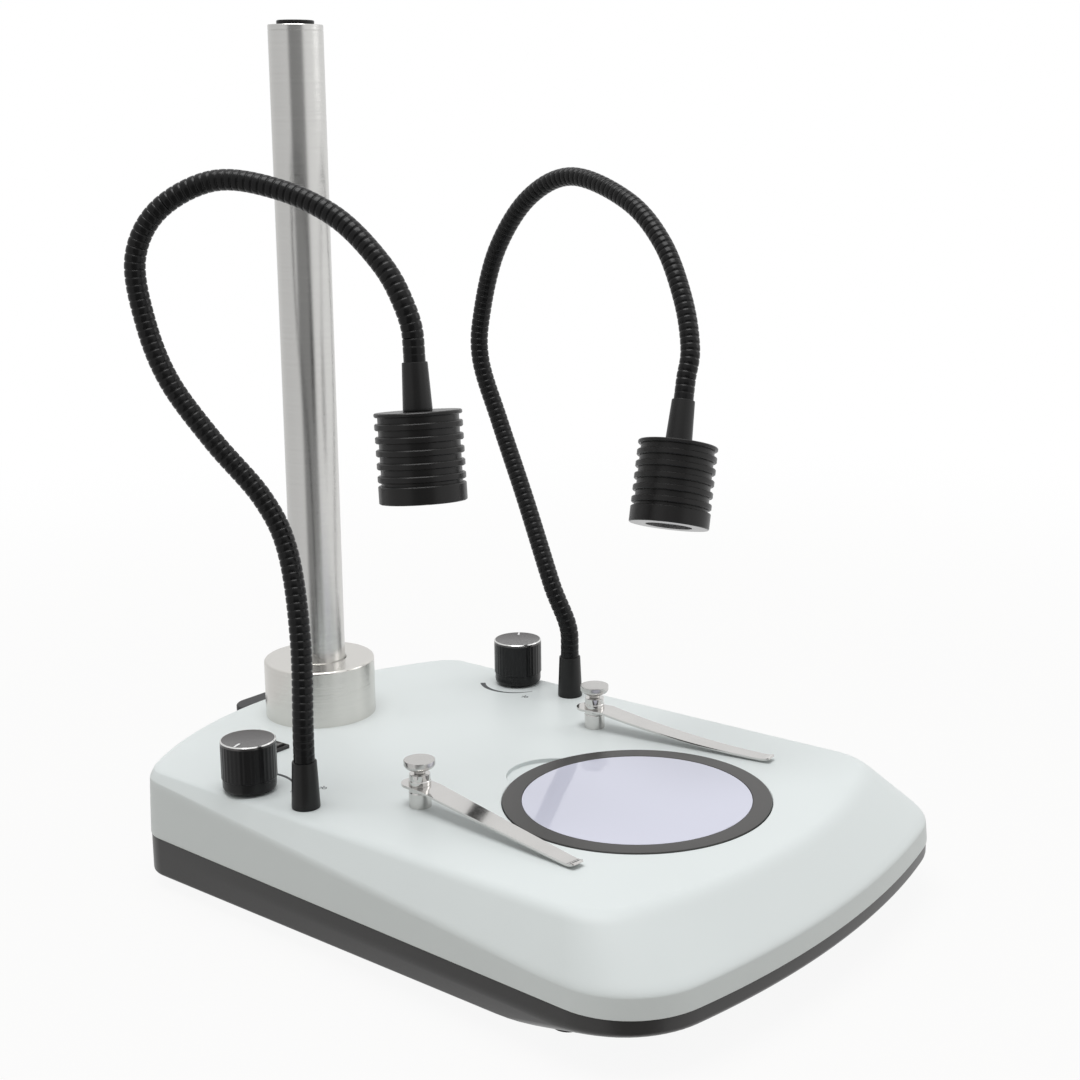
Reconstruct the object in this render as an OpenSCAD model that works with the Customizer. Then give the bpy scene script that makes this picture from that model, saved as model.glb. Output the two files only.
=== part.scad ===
// Microscope post stand with a lit stage and two gooseneck lamps.
// Millimetres, +Z up, the front faces -Y, and the floor is at z = 0.

/* [Base] */
// Length of the housing, front to back
base_len = 332; // [310:1:360]
// Half width of the housing at the front end of its straight sides
front_half_w = 117.5; // [112:0.5:124]
// Half width of the housing at the rear end of its straight sides
rear_half_w = 105; // [100:0.5:110]
// Radius of the bowed front edge
front_bow_r = 410; // [300:5:600]
// Radius of the front corners
front_corner_r = 38; // [25:1:50]
// Radius of the bowed rear edge
rear_bow_r = 180; // [160:5:260]
// Radius of the rear corners
rear_corner_r = 17; // [15:1:30]
// Height of the top housing above the seam
housing_h = 30; // [27:0.5:36]
// Height of the housing's side wall at the front, above the seam
wall_front_h = 9.5; // [8:0.5:14]
// Height of the housing's side wall at the rear, above the seam
wall_rear_h = 26; // [20:0.5:26.5]
// Wall thickness of the housing
housing_wall = 3; // [2.5:0.1:3.5]
// Inset of the flat top from the housing's front edge
top_front_inset = 23; // [15:0.5:30]
// Radius of the bowed front edge of the flat top
top_bow_r = 235; // [180:5:400]
// Radius of the front corners of the flat top
top_corner_r = 24; // [15:1:45]
// Inset of the flat top from the sides at the front
top_side_inset = 15; // [9:0.5:17]
// Inset of the flat top from the rear edge
top_rear_inset = 2.5; // [1.5:0.1:3.5]
// Inset of the flat top from the sides at the rear
top_tail_inset = 4; // [2:0.1:6]
// Height of the bottom pan
pan_h = 18; // [15:0.5:22]
// Height of the upright band round the pan's rim
pan_band_h = 7; // [5:0.5:9]
// Setback of the pan's band behind the housing's edge
pan_setback = 0.4; // [0.2:0.1:1]
// Undercut of the pan's floor at the front
pan_front_undercut = 26; // [15:1:32]
// Undercut of the pan's floor at the sides near the front
pan_side_undercut = 6; // [2:0.5:10]
// Wall thickness of the pan
pan_wall = 2.5; // [2:0.1:3]
// Height of the rubber feet
foot_h = 6; // [5:0.5:9]
// Diameter of the rubber feet
foot_d = 14; // [12:0.5:18]
// Distance of the front feet from the centre plane
foot_front_x = 91; // [80:0.5:93]
// Distance of the rear feet from the centre plane
foot_rear_x = 85; // [75:0.5:87]

/* [Post] */
// Diameter of the post
post_d = 25; // [20:0.5:32]
// Height of the post's top above the flat top of the base
post_h = 326.5; // [260:0.5:360]
// Bore of the post above its solid foot
post_bore_d = 15; // [10:0.5:16]
// Distance of the post from the rear edge
post_from_rear = 38; // [36:0.5:46]
// Amount by which the post's foot is turned down to sit in the collar
post_foot_step = 0.4; // [0.2:0.1:1]
// Outer diameter of the collar
collar_d = 53; // [50:0.5:58]
// Height of the collar
collar_h = 27.5; // [22:0.5:36]
// Chamfer of the collar's edges
collar_chamfer = 1.2; // [0.5:0.1:2]
// Diameter of the cap's flange
cap_d = 17; // [16.5:0.1:20]
// Thickness of the cap's flange
cap_h = 2; // [1:0.1:4]

/* [Stage] */
// Outer diameter of the stage ring
ring_d = 115.6; // [110:0.2:118]
// Width of the ring's flat face round the glass
ring_face_w = 8.3; // [7:0.1:12]
// Height of the ring
ring_h = 4; // [3:0.1:5]
// Height by which the ring stands above the flat top
ring_proud = 0.5; // [0.2:0.1:0.6]
// Thickness of the glass
glass_h = 2.4; // [1.5:0.1:2.6]
// Distance of the stage's centre from the front edge
stage_from_front = 102; // [95:0.5:108]
// Radius of the finger notch behind the ring
notch_r = 20.5; // [15:0.5:22]
// Depth of the finger notch
notch_depth = 1.2; // [1:0.1:2.5]
// Height of the light well under the stage
well_h = 28; // [22:0.5:32]

/* [Knobs] */
// Diameter of the dimmer knobs
knob_d = 24; // [20:0.5:25]
// Height of the knobs' top above the flat top
knob_top = 23.2; // [20:0.2:26]
// Gap between a knob and the flat top
knob_gap = 0.5; // [0.3:0.1:1]
// Thickness of the knob's metal cap
knob_cap_h = 1.4; // [1:0.1:2]
// Distance of a knob's centre from the housing's side line
knob_edge = 16.809; // [15.2:0.001:22]
// Distance of the knobs from the rear edge
knob_from_rear = 88; // [86:0.5:96]
// Diameter of the dimmers' shafts
shaft_d = 6; // [4:0.5:6.5]
// Diameter of the dimmers' bushes
bush_d = 9; // [8:0.5:10]
// Diameter of the dimmers' bodies
pot_d = 14.5; // [14:0.5:16.2]
// Height of the dimmers' bodies
pot_h = 8; // [6:0.5:9]

/* [Necks] */
// Outer diameter of the goosenecks over their ribs
hose_d = 9; // [8:0.1:9.6]
// Diameter of the goosenecks between their ribs
hose_valley_d = 7.8; // [7:0.1:7.9]
// Bore of the goosenecks
hose_bore_d = 5; // [4.4:0.1:5.6]
// Pitch of the ribs
rib_pitch = 4.2; // [4.1:0.1:6]
// Diameter of the lead inside a gooseneck
lead_d = 2.6; // [2:0.1:2.8]
// Diameter of the boots at their wide end
boot_d = 12.1; // [11:0.1:13]
// Diameter of the boots at the gooseneck
boot_tip_d = 10.5; // [9.8:0.1:11]
// Height of the boots on the base
boot_h = 20.5; // [16:0.5:24]
// Diameter of the boots' threaded spigots
spigot_d = 8; // [7:0.5:9]
// Distance of a gooseneck from the housing's side line
neck_edge = 19.073; // [17.2:0.001:22]
// Distance of the goosenecks from the rear edge
neck_from_rear = 122.3; // [120:0.1:126]

/* [Lamps] */
// Diameter of the lamp heads
lamp_d = 36; // [32:0.5:42]
// Number of cooling fins under the top flange
fin_count = 5; // [3:1:6]
// Thickness of a fin
fin_h = 2.7; // [2:0.1:3.4]
// Width of the groove between two fins
groove_h = 2.6; // [1.6:0.1:2.8]
// Width of the groove between the lowest fin and the bezel
foot_groove_h = 1.4; // [0.8:0.1:2.4]
// Depth of the grooves
groove_depth = 1.4; // [0.8:0.1:2]
// Thickness of the top flange
flange_h = 1.7; // [1.5:0.1:3]
// Height of the bezel ring
bezel_h = 7.4; // [6:0.1:9]
// Diameter of the bezel's opening
lens_open_d = 21; // [16:0.5:24]
// Length of the boot between head and gooseneck
lamp_boot_h = 20; // [14:0.5:24]

/* [Clips] */
// Diameter of the clip posts
clip_post_d = 9.6; // [8:0.2:11]
// Height of the clip posts
clip_post_h = 8.8; // [7.5:0.1:11]
// Diameter of the collar above the blade
clip_collar_d = 9.5; // [8:0.1:11]
// Height of the collar above the blade
clip_collar_h = 4.9; // [3:0.1:7]
// Diameter of the thumb screws' heads
thumb_d = 13.4; // [11:0.2:15]
// Thickness of the thumb screws' heads
thumb_h = 2.5; // [2:0.1:4]
// Diameter of the thumb screws' shanks
clip_shank_d = 3; // [2.5:0.1:4]
// Length of a blade from its post to its tip
blade_len = 93.5; // [80:0.5:95]
// Width of a blade at its post
blade_w = 12; // [10:0.2:13]
// Width of a blade at its tip
blade_tip_w = 6.6; // [5:0.2:10]
// Thickness of a blade
blade_t = 1; // [0.6:0.1:1.2]
// Distance of the clips from the centre plane
clip_x = 60.8; // [59:0.1:64]
// Distance of the clips behind the stage's centre
clip_back = 69.5; // [66:0.5:74]
// How early the left blade drops, 1 for a straight drop
left_blade_bend = 1.05; // [1:0.05:2.5]
// How early the right blade drops, 1 for a straight drop
right_blade_bend = 1.9; // [1:0.05:2.5]
// Angle by which a blade points outwards at rest
blade_splay = 6.3; // [4:0.1:12]

/* [Switch] */
// Length of the switch's bezel
switch_len = 21; // [19:0.5:24]
// Width of the switch's bezel
switch_w = 15; // [13.5:0.5:17]
// Height of the bezel above the flat top
switch_h = 1.8; // [1:0.1:2.5]
// Distance of the switch from the centre plane
switch_x = 53.1; // [50:0.1:58]
// Distance of the switch from the rear edge
switch_from_rear = 54; // [50:0.5:58]
// Tilt of the rocker from level
rocker_tilt = 12; // [8:0.5:14]

/* [Rear block] */
// Width of the connector block behind the housing
block_w = 34; // [30:1:50]
// Depth by which the block stands out
block_out = 10; // [8:0.5:14]
// Height of the block
block_h = 25; // [20:0.5:26]
// Radius of the block's rear corners
block_r = 9; // [4:0.5:9.5]
// Diameter of the power jack
jack_d = 9; // [8:0.5:11]
// Diameter of the jack's socket
jack_socket_d = 5.5; // [5:0.1:6.5]

/* [Hidden] */
$fn = 64;

// Clearances
running_fit = 0.05;
close_fit = 0.1;
drop_in_fit = 0.3;
free_fit = 0.4;
cut = 1;

// Heights above the floor
pan_z = foot_h;
seam_z = pan_z + pan_h;
top_z = seam_z + housing_h;
ceiling_z = top_z - housing_wall;

// Places along the base
side_front_in = 62;
side_rear_in = 40;
pan_corner_more = 20;
top_round_in = 5;
foot_front_in = 68;
foot_rear_in = 31;
front_y = -(base_len + block_out) / 2;
rear_y = front_y + base_len;
side_front_y = front_y + side_front_in;
side_rear_y = rear_y - side_rear_in;
stage_y = front_y + stage_from_front;
post_y = rear_y - post_from_rear;
knob_y = rear_y - knob_from_rear;
knob_x = side_half_w(knob_y) - knob_edge;
neck_y = rear_y - neck_from_rear;
neck_x = side_half_w(neck_y) - neck_edge;
clip_y = stage_y + clip_back;
switch_y = rear_y - switch_from_rear;
foot_front_y = front_y + foot_front_in;
foot_rear_y = rear_y - foot_rear_in;
feet_at = [
    [-foot_front_x, foot_front_y],
    [foot_front_x, foot_front_y],
    [-foot_rear_x, foot_rear_y],
    [foot_rear_x, foot_rear_y]
];

// Fasteners
foot_screw_d = 4;
foot_head_d = 8;
foot_head_h = 2.6;
foot_head_z = 1.6;
foot_boss_d = 10;
foot_thread = 18;
collar_screw_d = 5;
collar_head_d = 8.5;
collar_head_h = 5;
collar_screw_count = 3;
collar_screw_ring = 39.5;
collar_thread = 8;
post_bolt_d = 8;
post_bolt_head_d = 13;
post_bolt_head_h = 8;
post_bolt_key_w = 7;
post_bolt_key_floor = 4;
post_thread = 18;
set_screw_d = 5;
set_screw_len = 12;
set_screw_z = top_z + collar_h / 2;
post_foot_d = post_d - post_foot_step;

// Bosses under the flat top
collar_boss_d = 58;
collar_boss_h = 7;
collar_boss_z = ceiling_z - collar_boss_h;

// Stage seat
seat_z = top_z + ring_proud - ring_h;
seat_wall = 8;
seat_h = 6.5;
seat_under_z = seat_z - seat_h;
seat_lap = 5.3;
well_bore_d = ring_d - 2 * seat_lap;
ring_lip_h = ring_h - glass_h - 0.1;
ring_lip = 2.5;
notch_in = 11.3;
notch_back = ring_d / 2 - notch_in;
glass_d = ring_d - 2 * ring_face_w;

// Light well
well_wall = 2;
well_flange_h = 3;
well_flange = 4;
well_rise = 4;
well_d = well_bore_d - 2 * free_fit;
well_shoulder = 2.5;
diffuser_h = 2;
led_board_h = 1.6;
led_board_gap = 2;
led_chip = 5;
led_chip_h = 1.2;
led_ring_counts = [1, 6, 12];
led_ring_step = 18;
well_top_z = seat_under_z + well_rise;
well_floor_z = well_top_z - well_h;
shoulder_z = well_top_z - diffuser_h - 1;
well_inner_d = well_d - 2 * well_wall;

// Dimmers
pot_bush_h = 6.5;
pot_floor = 1;
pot_nut_d = 13;
pot_nut_h = 2.2;
shaft_rise = 16;
board_h = 1.6;
board_z = ceiling_z - pot_h - board_h;
dimmer_board_w = 19;
dimmer_board_margin = 9;
knob_recess_d = 17;
knob_recess_h = 3.5;
knob_foot_h = 5.5;
knob_foot_step = 0.4;
knob_rim = 0.7;
knob_cap_key_d = 16;
knob_cap_key_h = 0.8;
pointer_w = 1;
pointer_len = 4.2;
pointer_depth = 0.3;
left_pointer = 197;
right_pointer = 36;

// Power board on the pan
power_board_w = 80;
power_board_len = 50;
power_board_from_rear = 106;
power_board_y = rear_y - power_board_from_rear;
standoff_h = 6.5;
standoff_d = 6;
standoff_inset = 5;

// Gooseneck boots
boot_bore_d = 4;
spigot_len = 7;
gland_nut_d = 13.8;
gland_nut_h = 3;

// Clips
clip_stem_d = 6;
clip_stem_len = 6;
clip_thread = 7;
clip_blade_z = top_z + clip_post_h;
clip_collar_z = clip_blade_z + blade_t;
thumb_z = clip_collar_z + clip_collar_h;
thumb_neck_d = 5;
thumb_neck_h = 1.8;
thumb_cone_h = 1.9;
blade_tail = 3;
blade_flat = 7;
blade_tip_curl = 4;
blade_tip_rise = 1;
blade_low = ring_proud + 0.4;

// Rocker switch
switch_body_h = 14;
switch_cut_margin = 0.9;
rocker_wall = 1.7;
rocker_end_wall = 2.2;
rocker_z = top_z - 1;
rocker_end_h = 5.8;
rocker_mid_h = 3.2;
rocker_under = 3;
rocker_pin_d = 2;
rocker_end_gap = 1.1;

// Rear block
block_top_drop = 2;
block_gap = 0.2;
tongue_w = 26;
tongue_h = 16;
tongue_len = 7;
jack_len = 13;
jack_socket_len = 9.5;
jack_pin_d = 2;
block_z = top_z - block_top_drop - block_h;
jack_z = block_z + block_h * 0.45;

// Lamp heads: the centre, the lean from upright and the direction of the lean
left_lamp_at = [-57.4, -1.5, 204.8];
left_lamp_lean = 7.8;
left_lamp_turn = 60;
right_lamp_at = [54.8, -49, 179.5];
right_lamp_lean = 20;
right_lamp_turn = 16;
lamp_len = flange_h + fin_count * (fin_h + groove_h) + foot_groove_h + bezel_h;
lamp_cavity_d = 26;
lamp_cavity_h = 17;
bezel_spigot_d = 30;
bezel_spigot_h = 4;
bezel_lip_h = 1.8;
bezel_pocket_d = 26.4;
lens_edge_h = 1.5;
lens_dome_h = 2;
lamp_board_d = 25.4;
emitter_d = 6;
emitter_h = 1.4;

// Routes of the goosenecks between their straight ends, and a direction across each loop
left_route = [
    [-84, 45, 125], [-78, 57, 160], [-80, 69, 182], [-89, 88, 206], [-96, 106, 231],
    [-98, 117, 256], [-98, 121, 282], [-91, 113, 302], [-77, 94, 314], [-66, 68, 311],
    [-59, 41, 300], [-56, 19, 282], [-55, 8, 266]
];
right_route = [
    [89, 49, 111], [98, 73, 150], [105, 95, 186], [106, 108, 217], [108, 108, 242],
    [109, 98, 274], [109, 77, 300], [107, 48, 311], [100, 10, 301], [92, -16, 283],
    [83, -34, 259], [76, -43, 238]
];
left_across = [0.86, 0.5, 0];
right_across = [1, 0, 0];
left_upper_share = 0.37;
right_upper_share = 0.4;
route_steps = 16;
hose_sides = 8;
bore_every = 6;
lead_every = 6;

// Straight line between two values
function mix(a, b, t) = a + (b - a) * t;

// Half width of the housing's side line at y
function side_half_w(y) =
    mix(front_half_w, rear_half_w, (y - side_front_y) / (side_rear_y - side_front_y));

// Unit vector along v
function unit(v) = v / norm(v);

// Base outlines

// An outline is [front half width, rear half width, front y, front bow, front corner, rear y, rear bow, rear corner]
seam_outline = [
    front_half_w, rear_half_w, front_y, front_bow_r, front_corner_r, rear_y, rear_bow_r, rear_corner_r
];
top_outline = [
    front_half_w - top_side_inset, rear_half_w - top_tail_inset, front_y + top_front_inset, top_bow_r,
    top_corner_r, rear_y - top_rear_inset, rear_bow_r - top_rear_inset, rear_corner_r - top_rear_inset
];
pan_outline = [
    front_half_w - pan_side_undercut, rear_half_w - pan_setback, front_y + pan_front_undercut, front_bow_r,
    front_corner_r + pan_corner_more, rear_y - pan_setback, rear_bow_r, rear_corner_r
];

// The same outline moved inwards by d
function inset(o, d) = [o[0] - d, o[1] - d, o[2] + d, o[3] - d, o[4] - d, o[5] - d, o[6] - d, o[7] - d];

// Centre of a corner of radius r that touches the side line and a bow of radius big about [0, bow_y]
function corner_centre(o, r, big, bow_y, end) =
    let (along = unit([o[1] - o[0], side_rear_y - side_front_y]))
    let (out = [along[1], -along[0]])
    let (from = [o[0], side_front_y] - r * out - [0, bow_y])
    let (b = from * along)
    let (c = from * from - (big - r) * (big - r))
    from + along * (-b + end * sqrt(b * b - c)) + [0, bow_y];

function arc(centre, r, from, to, n) =
    [for (i = [0:n]) centre + r * [cos(mix(from, to, i / n)), sin(mix(from, to, i / n))]];

// Right half of an outline, from the front to the rear
function half_outline(o) =
    let (side = atan2(o[0] - o[1], side_rear_y - side_front_y))
    let (front_bow = [0, o[2] + o[3]])
    let (rear_bow = [0, o[5] - o[6]])
    let (c1 = corner_centre(o, o[4], o[3], front_bow[1], -1))
    let (c2 = corner_centre(o, o[7], o[6], rear_bow[1], 1))
    let (a1 = atan2(c1[1] - front_bow[1], c1[0]))
    let (a2 = atan2(c2[1] - rear_bow[1], c2[0]))
    concat(
        arc(front_bow, o[3], -90, a1, 5),
        arc(c1, o[4], mix(a1, side, 1 / 8), side, 7),
        arc(c2, o[7], side, mix(a2, side, 1 / 6), 5),
        arc(rear_bow, o[6], a2, 90, 5)
    );

// Whole outline, anticlockwise from the middle of the front
function full_outline(o) =
    let (half = half_outline(o))
    let (n = len(half))
    concat(half, [for (i = [n - 2:-1:1]) [-half[i][0], half[i][1]]]);

function at_z(points, z) = [for (p = points) [p[0], p[1], z]];

// Height of the wall's top edge at y, between its front and rear heights
function wall_z(y) =
    seam_z + mix(wall_front_h, wall_rear_h, max(0, min(1, (y - side_front_y) / (side_rear_y - side_front_y))));

// The outline set at the wall's top edge, lowered by d
function at_wall(points, d) = [for (p = points) [p[0], p[1], wall_z(p[1]) - d]];

// A ring between two rings
function between(a, b, t) = [for (i = [0:len(a) - 1]) mix(a[i], b[i], t)];

// A ring on the rounded edge at ring b, between ring a and ring c
function rounded(a, b, c, t) =
    [for (i = [0:len(a) - 1]) (1 - t) * (1 - t) * a[i] + 2 * t * (1 - t) * b[i] + t * t * c[i]];

// Closed skin over a list of rings, with flat ends
module loft(rings) {
    n = len(rings[0]);
    m = len(rings);
    sides = [
        for (k = [0:m - 2]) for (i = [0:n - 1]) each [
            [k * n + i, (k + 1) * n + i, (k + 1) * n + (i + 1) % n],
            [k * n + i, (k + 1) * n + (i + 1) % n, k * n + (i + 1) % n]
        ]
    ];
    first = [for (i = [0:n - 1]) i];
    last = [for (i = [n - 1:-1:0]) (m - 1) * n + i];
    polyhedron([for (r = rings) each r], concat([first], sides, [last]), convexity = 10);
}

// Plain cylinder between two heights
module rod(d, z0, z1) {
    translate([0, 0, z0]) cylinder(d = d, h = z1 - z0);
}

// Tube between two heights
module tube(outer_d, inner_d, z0, z1) {
    difference() {
        rod(outer_d, z0, z1);
        rod(inner_d, z0 - cut, z1 + cut);
    }
}

// Box centred on x and y between two heights
module block(w, l, z0, z1) {
    translate([-w / 2, -l / 2, z0]) cube([w, l, z1 - z0]);
}

// Copies at both sides
module both_sides(x, y) {
    for (side = [-1, 1]) translate([side * x, y, 0]) children();
}

// Base pieces

module housing_skin() {
    seam = full_outline(seam_outline);
    wall = at_wall(full_outline(inset(seam_outline, 0.8)), 0);
    edge = at_z(full_outline(top_outline), top_z);
    flat = at_z(full_outline(inset(top_outline, top_round_in)), top_z);
    foot = at_z(seam, seam_z);
    low = between(foot, wall, 0.72);
    slope_low = between(wall, edge, 0.3);
    slope_high = between(wall, edge, 0.7);
    inside = inset(seam_outline, housing_wall);
    loft([
        at_z(full_outline(inset(top_outline, housing_wall)), ceiling_z),
        at_wall(full_outline(inset(inside, 0.8)), housing_wall),
        at_z(full_outline(inside), seam_z),
        foot,
        low,
        rounded(low, wall, slope_low, 0.35),
        rounded(low, wall, slope_low, 0.7),
        slope_low,
        slope_high,
        rounded(slope_high, edge, flat, 0.35),
        rounded(slope_high, edge, flat, 0.7),
        flat
    ]);
}

module top_housing() {
    color("#dde5e5")
    difference() {
        union() {
            housing_skin();
            for (p = feet_at) translate(p) rod(foot_boss_d, pan_z + pan_wall, ceiling_z + 1);
            translate([0, post_y]) rod(collar_boss_d, collar_boss_z, ceiling_z + 1);
            translate([0, stage_y]) rod(ring_d + 2 * seat_wall, seat_under_z, ceiling_z + 1);
        }
        for (p = feet_at)
            translate(p)
                rod(foot_screw_d + 2 * running_fit, pan_z, pan_z + pan_wall + foot_thread + 1);
        translate([0, post_y]) {
            rod(post_bolt_d + 2 * free_fit, collar_boss_z - cut, top_z + cut);
            collar_screw_places() rod(collar_screw_d + 2 * close_fit, collar_boss_z - cut, top_z + cut);
        }
        translate([0, stage_y]) {
            rod(ring_d + 2 * drop_in_fit, seat_z, top_z + cut);
            rod(well_bore_d, seat_under_z - cut, top_z + cut);
        }
        translate([0, stage_y + notch_back]) rod(2 * notch_r, top_z - notch_depth, top_z + cut);
        both_sides(knob_x, knob_y) rod(bush_d + 2 * close_fit, ceiling_z - cut, top_z + cut);
        both_sides(neck_x, neck_y) rod(spigot_d + 2 * close_fit, ceiling_z - cut, top_z + cut);
        both_sides(clip_x, clip_y) rod(clip_stem_d + 2 * running_fit, ceiling_z - cut, top_z + cut);
        translate([-switch_x, switch_y])
            block(switch_hole_w(), switch_hole_len(), ceiling_z - cut, top_z + cut);
        translate([0, rear_y])
            block(tongue_w + 2 * block_gap, 2 * tongue_len, tongue_z() - block_gap, tongue_z() + tongue_h + block_gap);
    }
}

module bottom_pan() {
    rim = full_outline(inset(seam_outline, pan_setback));
    rim_inside = full_outline(inset(seam_outline, housing_wall));
    floor_edge = full_outline(pan_outline);
    color("#4a4a4c")
    difference() {
        union() {
            loft([
                at_z(floor_edge, pan_z),
                at_z(rim, seam_z - pan_band_h),
                at_z(rim, seam_z),
                at_z(rim_inside, seam_z),
                at_z(rim_inside, seam_z - pan_band_h + pan_wall - 0.5),
                at_z(full_outline(inset(pan_outline, 2 * pan_wall)), pan_z + pan_wall)
            ]);
            power_board_places() rod(standoff_d, pan_z + pan_wall / 2, pan_z + pan_wall + standoff_h);
        }
        for (p = feet_at)
            translate(p) {
                rod(foot_screw_d + 2 * drop_in_fit, pan_z - cut, pan_z + pan_wall + cut);
                rod(foot_boss_d + 2 * free_fit, pan_z + pan_wall, seam_z + cut);
            }
    }
}

module rubber_feet() {
    color("#202022")
    for (p = feet_at)
        translate(p)
            difference() {
                rod(foot_d, 0, foot_h);
                rod(foot_screw_d + 2 * drop_in_fit, -cut, foot_h + cut);
                rod(foot_head_d + 2 * free_fit, -cut, foot_head_z + foot_head_h);
            }
}

module foot_screws() {
    color("#9a9a98")
    for (p = feet_at)
        translate(p)
            difference() {
                union() {
                    rod(foot_head_d, foot_head_z, foot_head_z + foot_head_h);
                    rod(foot_screw_d, foot_head_z, pan_z + pan_wall + foot_thread);
                }
                rod(2.5, foot_head_z - cut, foot_head_z + 1.4, $fn = 6);
            }
}

// Post, collar and what holds them

module collar_screw_places() {
    for (i = [0:collar_screw_count - 1])
        rotate(90 + i * 360 / collar_screw_count) translate([collar_screw_ring / 2, 0]) children();
}

module post_collar() {
    r = collar_d / 2;
    bore = post_foot_d / 2 + running_fit;
    c = collar_chamfer;
    color("#c9cbcb")
    translate([0, post_y, 0])
        difference() {
            translate([0, 0, top_z])
                rotate_extrude()
                    polygon([
                        [bore, 0], [r, 0], [r, collar_h - c], [r - c, collar_h],
                        [bore + c, collar_h], [bore, collar_h - c]
                    ]);
            collar_screw_places()
                rod(collar_screw_d + 2 * running_fit, top_z - cut, top_z + collar_thread + 1);
            translate([0, 0, set_screw_z])
                rotate([-90, 0, 0]) rod(set_screw_d + 2 * running_fit, 0, collar_d);
        }
}

module collar_screws() {
    color("#3a3a3c")
    translate([0, post_y, 0])
        collar_screw_places()
            difference() {
                union() {
                    rod(collar_head_d, collar_boss_z - collar_head_h, collar_boss_z);
                    rod(collar_screw_d, collar_boss_z - cut, top_z + collar_thread);
                }
                rod(4.6, collar_boss_z - collar_head_h - cut, collar_boss_z - 2.4, $fn = 6);
            }
}

module collar_set_screw() {
    start = post_foot_d / 2 + running_fit;
    color("#3a3a3c")
    translate([0, post_y, set_screw_z])
        rotate([-90, 0, 0])
            difference() {
                rod(set_screw_d, start, start + set_screw_len);
                rod(2.9, start + set_screw_len - 3, start + set_screw_len + cut, $fn = 6);
            }
}

module post() {
    color("#b9bab8")
    translate([0, post_y, 0])
        difference() {
            union() {
                rod(post_foot_d, top_z, top_z + collar_h);
                rod(post_d, top_z + collar_h, top_z + post_h);
            }
            rod(post_bore_d, top_z + collar_h, top_z + post_h + cut);
            rod(post_bolt_d + 2 * running_fit, top_z - cut, top_z + post_thread + 1);
        }
}

module post_cap() {
    plug_len = 8;
    color("#1b1b1d")
    translate([0, post_y, top_z + post_h]) {
        rod(cap_d, 0, cap_h);
        rod(post_bore_d - 2 * running_fit, -plug_len, cut);
    }
}

module post_bolt() {
    color("#8c8c8a")
    translate([0, post_y, 0])
        difference() {
            union() {
                rod(post_bolt_head_d, collar_boss_z - post_bolt_head_h, collar_boss_z);
                rod(post_bolt_d, collar_boss_z - cut, top_z + post_thread);
            }
            rod(post_bolt_key_w, collar_boss_z - post_bolt_head_h - cut, collar_boss_z - post_bolt_key_floor, $fn = 6);
        }
}

// Stage and its light

module stage_ring() {
    color("#5e5e60")
    translate([0, stage_y, 0])
        difference() {
            rod(ring_d, seat_z, seat_z + ring_h);
            rod(glass_d + 2 * close_fit, seat_z + ring_lip_h, seat_z + ring_h + cut);
            rod(glass_d - 2 * ring_lip, seat_z - cut, seat_z + ring_h);
        }
}

module stage_glass() {
    color("#d6d6e4")
    translate([0, stage_y, 0]) rod(glass_d, seat_z + ring_lip_h, seat_z + ring_lip_h + glass_h);
}

module light_well() {
    color("#f2f2f0")
    translate([0, stage_y, 0])
        difference() {
            union() {
                rod(well_d, well_floor_z, well_top_z);
                rod(well_bore_d + 2 * well_flange, seat_under_z - well_flange_h, seat_under_z);
            }
            rod(well_inner_d, shoulder_z, well_top_z + cut);
            rod(well_inner_d - 2 * well_shoulder, well_floor_z + well_wall, well_top_z);
        }
}

module led_board() {
    d = well_inner_d - 2 * well_shoulder - 2 * led_board_gap;
    z = well_floor_z + well_wall;
    color("#e8ece8")
    translate([0, stage_y, 0]) rod(d, z, z + led_board_h);
}

module led_chips() {
    z = well_floor_z + well_wall + led_board_h;
    color("#f0d860")
    translate([0, stage_y, 0])
        for (ring = [0:len(led_ring_counts) - 1])
            for (i = [0:led_ring_counts[ring] - 1])
                rotate(i * 360 / led_ring_counts[ring])
                    translate([ring * led_ring_step, 0]) block(led_chip, led_chip, z, z + led_chip_h);
}

module diffuser() {
    color("#f6f4fa")
    translate([0, stage_y, 0]) rod(well_inner_d - 2 * drop_in_fit, shoulder_z, shoulder_z + diffuser_h);
}

// Connector block and boards

function tongue_z() = block_z + (block_h - tongue_h) / 2;

module jack_place() {
    translate([0, rear_y + block_out, jack_z]) rotate([90, 0, 0]) children();
}

module rear_block() {
    out = block_out - block_gap;
    color("#3c3c3e")
    difference() {
        union() {
            translate([0, rear_y + block_gap, block_z])
                linear_extrude(block_h)
                    intersection() {
                        translate([-block_w / 2, 0]) square([block_w, out]);
                        union() {
                            translate([-block_w / 2, -out]) square([block_w, 2 * out - block_r]);
                            translate([-block_w / 2 + block_r, -out]) square([block_w - 2 * block_r, 2 * out]);
                            for (side = [-1, 1])
                                translate([side * (block_w / 2 - block_r), out - block_r]) circle(block_r);
                        }
                    }
            translate([-tongue_w / 2, rear_y - tongue_len, tongue_z()])
                cube([tongue_w, tongue_len + block_gap + cut, tongue_h]);
        }
        jack_place() rod(jack_d + 2 * running_fit, -cut, jack_len);
    }
}

module power_jack() {
    color("#19191b")
    jack_place() {
        difference() {
            rod(jack_d, 0, jack_len);
            rod(jack_socket_d, -cut, jack_socket_len);
        }
        rod(jack_pin_d, 1, jack_len - 1);
    }
}

module power_board_places() {
    x = power_board_w / 2 - standoff_inset;
    y = power_board_len / 2 - standoff_inset;
    for (sx = [-1, 1]) for (sy = [-1, 1]) translate([sx * x, power_board_y + sy * y, 0]) children();
}

module power_board() {
    z = pan_z + pan_wall + standoff_h;
    color("#2f6b45")
    translate([0, power_board_y, 0]) block(power_board_w, power_board_len, z, z + board_h);
}

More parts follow.
